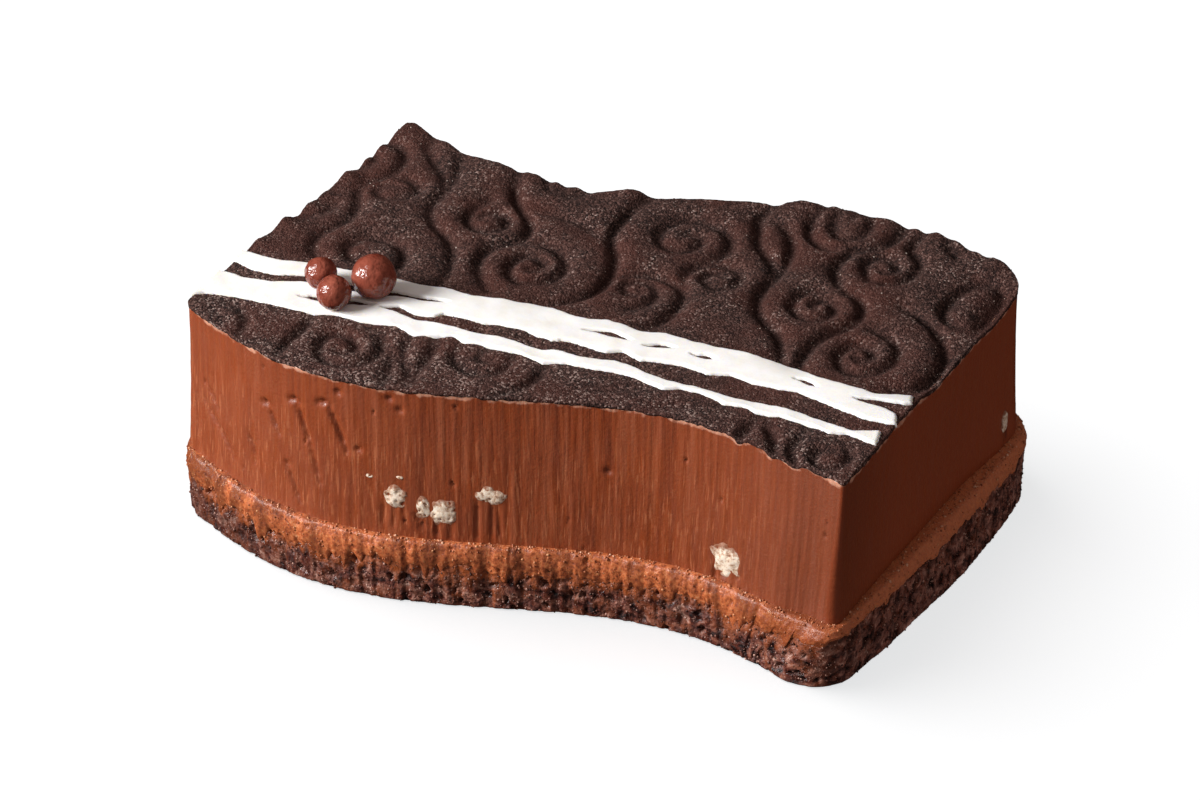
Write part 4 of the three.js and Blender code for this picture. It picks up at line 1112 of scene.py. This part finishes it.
def crisp_material():
    """Puffed cereal: a dry, cream-white foam with brown where mousse has filled its holes and smeared its
    edge."""
    made, add, surface = new_material(
        "puffed_cereal", Subsurface_Weight=0.2, Subsurface_Scale=0.6 * MM, Subsurface_Radius=(1.0, 0.8, 0.5),
        Roughness=0.75,
    )
    place = add("TexCoord").outputs["Object"]
    foam = add("TexNoise", place, Scale=1 / (0.6 * MM), Detail=5, Roughness=0.7)
    colour = add("ValToRGB", foam, stops=[(0.34, "#6a4128"), (0.44, "#c3a389"), (0.58, "#e4d5c2")])
    standing = add("Attribute", attribute_name="standing")
    ragged = add("Math MULTIPLY_ADD", foam, 0.5, standing.outputs["Fac"])
    mixed = coated(add, colour, (ragged, 0.42, 0.24, 0.85, "#84492a"))
    bump = add("Bump", Height=foam, Strength=0.6, Distance=0.15 * MM)
    feed(surface, {"Base Color": mixed, "Normal": bump})
    return made


crisp_finish = crisp_material()
puff_tree = puffing_tree()
crisp_balls, standings = [], []
for side, along, height, across, tall in CRISPS + BITS:
    thick = min(CRISP_THICKNESS, across * MM)
    place, out = on_side(side, along * MM, height * MM)
    turn = Matrix.Rotation(math.atan2(out.y, out.x), 4, "Z")
    size = (thick, across * CRISP_SPREAD * MM, tall * CRISP_SPREAD * MM)
    crisp_balls.append(ball(size, place + out * (min(CRISP_PROUD, CRISP_SHOWN * thick) - thick), turn))
    standings.append((crisp_balls[-1][0] - place) @ np.array(out) / MM)
crisps = new_piece("puffed_crisps", *joined(crisp_balls), standing=np.concatenate(standings))
shape(
    crisps, puff_tree, Lobe=1.2 * MM, LobeDepth=0.34 * MM, Hole=0.6 * MM, HoleDepth=0.24 * MM,
    Material=crisp_finish,
)
take_place(crisps, "mousse_layer")


# The cocoa top.
# The mousse's upper face was pressed with a scroll pattern and dusted with dark cocoa. The dust is a thin
# skin over the valleys and the plump lands between them, and it frays where the knife went through.
TOP_COLUMNS = 372
TOP_ROWS = 224
SKIRT_PROUD = 0.07 * MM
SKIRT_HEIGHT = 0.45 * MM
SKIRT_START = 0.1 * MM
SKIRT_TUCK = 0.5 * MM
FLOOR_TUCK = 2.0 * MM
COCOA_FLOOR = CAKE_TOP - 2.1 * MM


def cocoa_skin(name):
    """A thin closed skin: a fine grid over the whole plan, a short skirt at the cut, and a floor out of
    sight."""
    half_length, half_width = LENGTH / 2, WIDTH / 2
    x, y = np.meshgrid(
        np.linspace(-half_length, half_length, TOP_COLUMNS + 1),
        np.linspace(-half_width, half_width, TOP_ROWS + 1),
    )
    front_right, back_right, back_left, front_left = MOUSSE_CORNERS
    r = np.where(x > 0, np.where(y > 0, back_right, front_right), np.where(y > 0, back_left, front_left))
    a = np.maximum(np.abs(x) - (half_length - r), 0)
    b = np.maximum(np.abs(y) - (half_width - r), 0)
    x = x - np.sign(x) * a * (1 - np.sqrt(1 - b**2 / (2 * r**2)))
    y = y - np.sign(y) * b * (1 - np.sqrt(1 - a**2 / (2 * r**2)))
    y = y + wave_at(x) + turned_back(x, y, END_TRIM)
    index = np.arange(x.size).reshape(x.shape)
    quads = np.stack([index[:-1, :-1], index[:-1, 1:], index[1:, 1:], index[1:, :-1]], -1).reshape(-1, 4)
    rim = np.concatenate([index[0, :-1], index[:-1, -1], index[-1, :0:-1], index[:0:-1, 0]])
    places = np.column_stack([x.ravel(), y.ravel(), np.full(x.size, CAKE_TOP)])
    edge = places[rim]
    step = np.roll(edge, -1, 0) - np.roll(edge, 1, 0)
    out = np.column_stack([step[:, 1], -step[:, 0], np.zeros(len(edge))])
    out /= np.linalg.norm(out, axis=1)[:, None]
    drops = [
        (SKIRT_PROUD, -SKIRT_START, 1.0, 0.0), (SKIRT_PROUD, -SKIRT_HEIGHT / 2, 1.0, 0.5),
        (SKIRT_PROUD, -SKIRT_HEIGHT, 1.0, 1.0), (-SKIRT_TUCK, -SKIRT_HEIGHT, 1.0, 0.0),
        (-FLOOR_TUCK, COCOA_FLOOR - CAKE_TOP, 0.0, 0.0),
    ]
    rings = [edge + out * push + (0, 0, drop) for push, drop, _, _ in drops]
    count = len(edge)
    faces = quads.tolist()
    before = rim
    for number in range(len(drops)):
        ring = places.shape[0] + number * count + np.arange(count)
        faces += np.stack([before, ring, np.roll(ring, -1), np.roll(before, -1)], 1).tolist()
        before = ring
    centre = places.shape[0] + len(drops) * count
    faces += np.stack([np.roll(before, -1), before, np.full(count, centre)], 1).tolist()
    shifts = [np.ones(len(places)), *[np.full(count, shift) for _, _, shift, _ in drops], [0]]
    frays = [np.zeros(len(places)), *[np.full(count, fray) for _, _, _, fray in drops], [0]]
    return new_piece(
        name, np.concatenate([places, *rings, [(0, 0, COCOA_FLOOR)]]), faces, shift=np.concatenate(shifts),
        fray=np.concatenate(frays),
    )


def dusting_tree():
    """Roughens a skin of powder: soft clumps all over, and a torn lower edge at the cut."""
    add, given = new_tree("dusting", "Clump ClumpDepth Fray FrayDepth")
    place = add("InputPosition")
    fray = add("InputNamedAttribute", "fray")
    height = roughened(add, 0, place, given["Clump"], given["ClumpDepth"], Detail=3, Roughness=0.65)
    torn = add("TexNoise", place, Scale=add("Math DIVIDE", 1, given["Fray"]), Detail=4, Roughness=0.7)
    tear = add("MapRange", torn, 0.3, 0.7, 0.6, -1)
    drop = add("CombineXYZ", Z=add("Math MULTIPLY", add("Math MULTIPLY", tear, given["FrayDepth"]), fray))
    offset = add("VectorMath ADD", add("VectorMath SCALE", add("InputNormal"), Scale=height), drop)
    return finish_tree(add, add("SetPosition", given["Geometry"], Offset=offset), given)


def cocoa_material():
    """Dark cocoa powder: dull grains, black-brown to grey-brown, in redder and greyer patches. Real ones are
    too fine to show, so they are drawn a quarter of a millimetre wide. Painted shade darkens the valleys, and
    painted light makes the grains paler towards the front."""
    made, add, surface = new_material("cocoa_powder", Roughness=0.9, Specular_IOR_Level=0.25)
    place = add("TexCoord").outputs["Object"]
    grains = add("TexVoronoi", place, Scale=1 / (0.25 * MM))
    drifts = add("TexNoise", place, Scale=1 / (3.5 * MM), Detail=3)
    drift_and_painted_light = add("MapRange", drifts, 0.35, 0.62, 0.84, 1.03)
    along = add("SeparateXYZ", place)
    # Painted light: the grains turn paler towards the front, where the light grazes them.
    front = add("MapRange", along.outputs["Y"], -15 * MM, -24 * MM, 0, 0.12)
    drift_and_painted_light = add("Math ADD", drift_and_painted_light, front)
    chosen = add("Math MULTIPLY", add("SeparateXYZ", grains.outputs["Color"]), drift_and_painted_light)
    colour = add(
        "ValToRGB", chosen, stops=[(0.0, "#1d110f"), (0.55, "#432b25"), (0.88, "#674b44"), (1.0, "#98827a")]
    )
    patches = add("TexNoise", place, Scale=1 / (9 * MM), Detail=3)
    valley = add("Attribute", attribute_name="valley")
    # Redder patches, and painted shade in the valleys.
    mixed = coated(
        add, colour, (patches, 0.42, 0.62, 0.45, "#53291f"),
        (valley.outputs["Fac"], 0.2, 0.9, 0.42, "#170e0c"),
    )
    powder = add("TexNoise", place, Scale=1 / (0.5 * MM), Detail=4, Roughness=0.75)
    heap = add("Math MULTIPLY_ADD", grains, -0.6, powder)
    bump = add("Bump", Height=heap, Strength=1, Distance=0.3 * MM)
    feed(surface, {"Base Color": mixed, "Normal": bump})
    return made


cocoa_finish = cocoa_material()
dust_tree = dusting_tree()
cocoa = cocoa_skin("cocoa_dusting")
shape(cocoa, emboss_tree, Lines=scroll_lines, CalmLine=calm_line, Material=cocoa_finish, **RELIEF_SIZES)
shape(
    cocoa, dust_tree, Clump=0.9 * MM, ClumpDepth=0.28 * MM, Fray=2.0 * MM, FrayDepth=0.3 * MM,
    Material=cocoa_finish,
)
cocoa_grains = strew(
    "cocoa_grains", cocoa, Density=1.5 / MM**2, Lowest=0.1, Highest=1.1, Gripped=-1.0, Smallest=0.045 * MM,
    Largest=0.14 * MM, Seed=13,
    Material=grain_material("loose_cocoa", 0.8, [
        (0.0, "#2b1b18"), (0.7, "#4f362f"), (0.94, "#7f665b"), (1.0, "#cbbbb0")
    ]),
)
for piece in (cocoa, cocoa_grains):
    take_place(piece, "cocoa_top")


# The white chocolate lines.
# Three lines of white chocolate, poured along the top before the portion was cut. They lie flat over the
# pattern and have run into each other, with gaps and narrow slits between them, and end in blunt cuts.
LINE_THICKNESS = 0.42 * MM
LINE_SHOULDER = 0.26 * MM
LINE_END = 48.2 * MM
LINE_COLUMNS = 470
LINE_ROWS = 118
LINE_REACH = 7.0 * MM
LINE_ROOT = 0.45 * MM
LINE_HEM = -0.12 * MM
LINE_COVER = 0.15 * MM
BRIDGE_STEPS = 13
EDGE_WAVES = [(1.6 * MM, 0.16 * MM), (0.6 * MM, 0.07 * MM)]
TOP_WAVE = (3.0 * MM, 0.05 * MM)
RIM_INSET = 0.3 * MM
# The far edge and the near edge of all the lines together: x and y in millimetres.
FAR_EDGE = [
    (-48.5, -15.1), (-46.6, -14.8), (-44.3, -15.1), (-41.8, -14.8), (-38.9, -13.7), (-32.3, -12.6),
    (-25.7, -11.4), (-22.9, -11.2), (-19, -10.1), (-14.6, -10.2), (-10.4, -8.9), (-6.4, -7.8), (-3.9, -7.6),
    (-0.2, -8), (1.9, -7.8), (4, -6.8), (6.2, -6.7), (9.4, -7.1), (12.5, -5.9), (16.6, -6), (20.7, -5.5),
    (24.1, -5), (31.3, -4.8), (34.6, -5.7), (40.3, -5.7), (42.7, -5.6), (46.7, -3.5), (48.2, -3.2),
]
NEAR_EDGE = [
    (-48.2, -27.2), (-46.6, -26.1), (-44.3, -25.4), (-40.4, -24.7), (-36.3, -24.1), (-33.3, -23.9),
    (-28.9, -22.9), (-24.3, -22.2), (-19.6, -21.1), (-16.6, -21.6), (-14.7, -20.9), (-12, -19.6),
    (-10, -19.9), (-6.5, -19.3), (-3, -18.8), (1.3, -19.3), (4, -18), (7.8, -17.6), (10.4, -16.9),
    (12.5, -16.6), (17.9, -17.3), (19.9, -16.2), (22.6, -15.8), (26.6, -16.6), (28.8, -16), (30.7, -16.3),
    (34, -15.8), (38.6, -15.8), (41.2, -16.1), (43.2, -15.2), (47.3, -15.8), (48.2, -15.8),
]
# The gaps between them: x, y and half width at a few places along each.
GAPS = [
    [
        (-48.6, -19.1, 1.6), (-46.6, -19, 1.3), (-44, -19.4, 1.1), (-40.3, -18.8, 0.95), (-36.1, -17.1, 0.85),
        (-30.7, -16.4, 0.9), (-25, -15.4, 0.7), (-22.4, -14.6, 0.45), (-18.7, -13.8, 0.4),
        (-16.6, -13.2, 0.05),
    ],
    [
        (-34.8, -21.1, 0.05), (-33.3, -20.6, 0.4), (-32.2, -20.3, 0.55), (-27.9, -19.5, 0.6),
        (-24.8, -18.6, 0.1),
    ],
    [
        (-23.5, -18.5, 0.1), (-21.7, -17.8, 0.55), (-18.8, -18, 0.5), (-16.4, -17.5, 0.6),
        (-15.4, -16.8, 1.0), (-12, -16.5, 1.15), (-7.9, -15.8, 1.25), (-4.2, -15.4, 1.25), (0, -15.5, 1.0),
        (1.4, -14.8, 1.15), (5.1, -14.7, 1.2), (7.4, -14.4, 0.95), (9.4, -13.4, 1.1), (11.9, -13.7, 0.8),
        (14.8, -13.6, 1.6), (17.9, -13.3, 2.0), (21.2, -13.2, 1.7), (24.1, -12.6, 2.2), (27.7, -12.7, 2.1),
        (31, -12.1, 1.95), (33.4, -11.8, 2.05), (36.3, -12, 1.8), (41.4, -12.6, 1.65), (43.6, -12.9, 1.5),
        (46.6, -12, 0.9), (48.3, -12, 1.3),
    ],
    [(2.5, -10.5, 0.05), (4.2, -9.9, 0.35), (6, -9.7, 0.6), (7.4, -9.6, 0.45), (9.2, -9.7, 0.05)],
    [(11.1, -9.9, 0.05), (12.5, -9.3, 0.35), (13.7, -8.8, 0.35), (15, -8.4, 0.05)],
    [(17.6, -8.7, 0.05), (18.9, -8.4, 0.45), (19.8, -8.3, 0.4), (20.8, -8.3, 0.05)],
    [(31.8, -7.4, 0.05), (33.1, -7.3, 0.45), (34.2, -7.5, 0.4), (35.2, -7.8, 0.05)],
    [(40.6, -8, 0.1), (43, -7.6, 0.7), (45.3, -7.3, 0.9), (46.7, -7.3, 1.3), (48.3, -6.9, 1.9)],
]
# Where the lines end at the right: y and x.
RIGHT_END = [
    (-16.5, 47.6), (-15.8, 47.5), (-12.4, 46.8), (-12.3, 48.1), (-11, 48.1), (-8.5, 46.9), (-8.4, 48.1),
    (-6.9, 48), (-3.4, 46.9),
]


def waviness(places, wave):
    """Smooth chance at each place: the wave's length and its height."""
    length, height = wave
    return height * np.array([noise.noise(Vector(place) / length) for place in places])


def evened(values):
    """The running mean of a grid over a few steps both ways."""
    run = np.ones(2 * BRIDGE_STEPS + 1) / (2 * BRIDGE_STEPS + 1)
    for axis in (0, 1):
        values = np.apply_along_axis(
            lambda row: np.convolve(np.pad(row, BRIDGE_STEPS, "edge"), run, "valid"), axis, values
        )
    return values


def within_lines(x, y):
    """How far each place lies inside the lines' outline, below 0 outside it."""
    (far_x, far_y), (near_x, near_y) = (np.array(edge).T * MM for edge in (FAR_EDGE, NEAR_EDGE))
    end_y, end_x = np.array(RIGHT_END).T * MM
    inward = np.minimum(np.interp(x, far_x, far_y) - y, y - np.interp(x, near_x, near_y))
    inward = np.minimum(inward, np.interp(y, end_y, end_x) - x)
    for gap in GAPS:
        gap_x, gap_y, gap_half = np.array(gap).T * MM
        beyond = np.maximum(np.maximum(gap_x[0] - x, x - gap_x[-1]), 0)
        aside = np.abs(y - np.interp(x, gap_x, gap_y)) - np.interp(x, gap_x, gap_half)
        inward = np.minimum(inward, np.where(beyond > 0, np.hypot(beyond, np.maximum(aside, 0)), aside))
    return inward


def poured_lines(name, ground):
    """A closed sheet with the outline of all the lines together, which bridges the valleys of the ground."""
    x = np.linspace(-LINE_END, LINE_END, LINE_COLUMNS)
    far_y, near_y = (np.interp(x, *(np.array(edge).T * MM)) for edge in (FAR_EDGE, NEAR_EDGE))
    y = (far_y + near_y)[:, None] / 2 + np.linspace(-LINE_REACH, LINE_REACH, LINE_ROWS)
    x = np.broadcast_to(x[:, None], y.shape)
    flat = np.column_stack([x.ravel(), y.ravel(), np.zeros(x.size)])
    inward = within_lines(x, y) + sum(waviness(flat, wave) for wave in EDGE_WAVES).reshape(x.shape)

    tree = BVHTree.FromPolygons([v.co for v in ground.vertices], [tuple(f.vertices) for f in ground.polygons])
    inset = LENGTH / 2 - RIM_INSET
    hits = [
        tree.ray_cast(Vector((min(max(a, -inset), inset), b, 1)), Vector((0, 0, -1)))[0] for a, b, _ in flat
    ]
    below = np.array([CAKE_TOP if hit is None else hit.z for hit in hits]).reshape(x.shape)
    share = np.clip(inward / LINE_SHOULDER, 0, 1)
    base = below + (evened(below) - below) * share
    crown = (LINE_THICKNESS + waviness(flat, TOP_WAVE).reshape(x.shape)) * np.sqrt(1 - (1 - share) ** 2)
    top = base + crown + np.minimum(inward, 0)
    top = np.where(share > 0.5, np.maximum(top, below + LINE_COVER), top)

    index = np.arange(x.size).reshape(x.shape)
    quads = np.stack([index[:-1, :-1], index[1:, :-1], index[1:, 1:], index[:-1, 1:]], -1).reshape(-1, 4)
    quads = quads[(inward.ravel()[quads] > LINE_HEM).all(1)]
    sides = np.concatenate([quads[:, [i, (i + 1) % 4]] for i in range(4)])
    known = {tuple(side) for side in sides.tolist()}
    hem = np.array([side for side in sides.tolist() if (side[1], side[0]) not in known])
    used = np.unique(quads)
    place_of = np.full(x.size, -1)
    place_of[used] = np.arange(len(used))
    upper = np.column_stack([flat[used, :2], top.ravel()[used]])
    lower = np.column_stack([flat[used, :2], below.ravel()[used] - LINE_ROOT])
    quads, hem = place_of[quads], place_of[hem]
    count = len(used)
    walls = np.stack([hem[:, 1], hem[:, 0], hem[:, 0] + count, hem[:, 1] + count], 1)
    return new_piece(
        name, np.concatenate([upper, lower]),
        [*quads.tolist(), *(quads[:, ::-1] + count).tolist(), *walls.tolist()],
    )


def white_chocolate_material():
    """White chocolate: ivory white, set to a satin, a little translucent."""
    made, add, surface = new_material(
        "white_chocolate", Subsurface_Weight=0.3, Subsurface_Scale=1.5 * MM, Subsurface_Radius=(1.0, 0.8, 0.5)
    )
    place = add("TexCoord").outputs["Object"]
    cloud = add("TexNoise", place, Scale=1 / (2.5 * MM), Detail=3)
    colour = add("ValToRGB", cloud, stops=[(0.3, "#f7f2ea"), (0.6, "#fcfaf6")])
    rough = add("MapRange", cloud, 0.3, 0.7, 0.38, 0.52)
    bump = add("Bump", Height=cloud, Strength=0.3, Distance=0.2 * MM)
    feed(surface, {"Base Color": colour, "Roughness": rough, "Normal": bump})
    return made


def setting_tree():
    """Lets a poured sheet set: its steps are evened out, and its surface is smooth."""
    add, given = new_tree("setting", "", Rounds="Int")
    place = add("InputPosition")
    eased = add("BlurAttribute", Value=place, Iterations=given["Rounds"], data_type="FLOAT_VECTOR")
    return finish_tree(add, add("SetPosition", given["Geometry"], Position=eased), given)


white_lines = poured_lines("white_chocolate_lines", cocoa.data)
shape(white_lines, setting_tree(), Rounds=1, Material=white_chocolate_material())
take_place(white_lines, "cocoa_top")


# The crunch pearls.
# Crisp cereal balls turned in milk chocolate and polished, pressed into the white lines while these were
# soft. The coating is a little lumpy, so it breaks every reflection into several.
PEARLS = [
    ("pearl_large", "crunch_pearl_large", 3.05), ("pearl_front", "crunch_pearl_front", 2.35),
    ("pearl_small", "crunch_pearl_small", 2.2),
]


def pearl_material():
    """Polished milk chocolate: red-brown, smooth and glossy."""
    made, add, surface = new_material("polished_milk_chocolate", Roughness=0.22)
    place = add("TexCoord").outputs["Object"]
    cloud = add("TexNoise", place, Scale=1 / (2.4 * MM), Detail=2)
    colour = add("ValToRGB", cloud, stops=[(0.3, "#6d2d20"), (0.7, "#95503f")])
    dimples = add("TexNoise", place, Scale=1 / (1.0 * MM), Detail=2)
    bump = add("Bump", Height=dimples, Strength=1, Distance=0.35 * MM)
    feed(surface, {"Base Color": colour, "Normal": bump})
    return made


pearl_finish = pearl_material()
for name, node, radius in PEARLS:
    low, high = (Vector(corner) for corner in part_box(node))
    pearl = new_piece(name, *ball([radius * MM] * 3, (low + high) / 2, Matrix.Identity(4)))
    shape(
        pearl, puff_tree, Lobe=1.6 * MM, LobeDepth=0.18 * MM, Hole=0.9 * MM, HoleDepth=0.07 * MM,
        Material=pearl_finish,
    )
    take_place(pearl, node)

for helper in (scroll_lines, calm_line, cut_marks):
    bpy.data.objects.remove(helper)
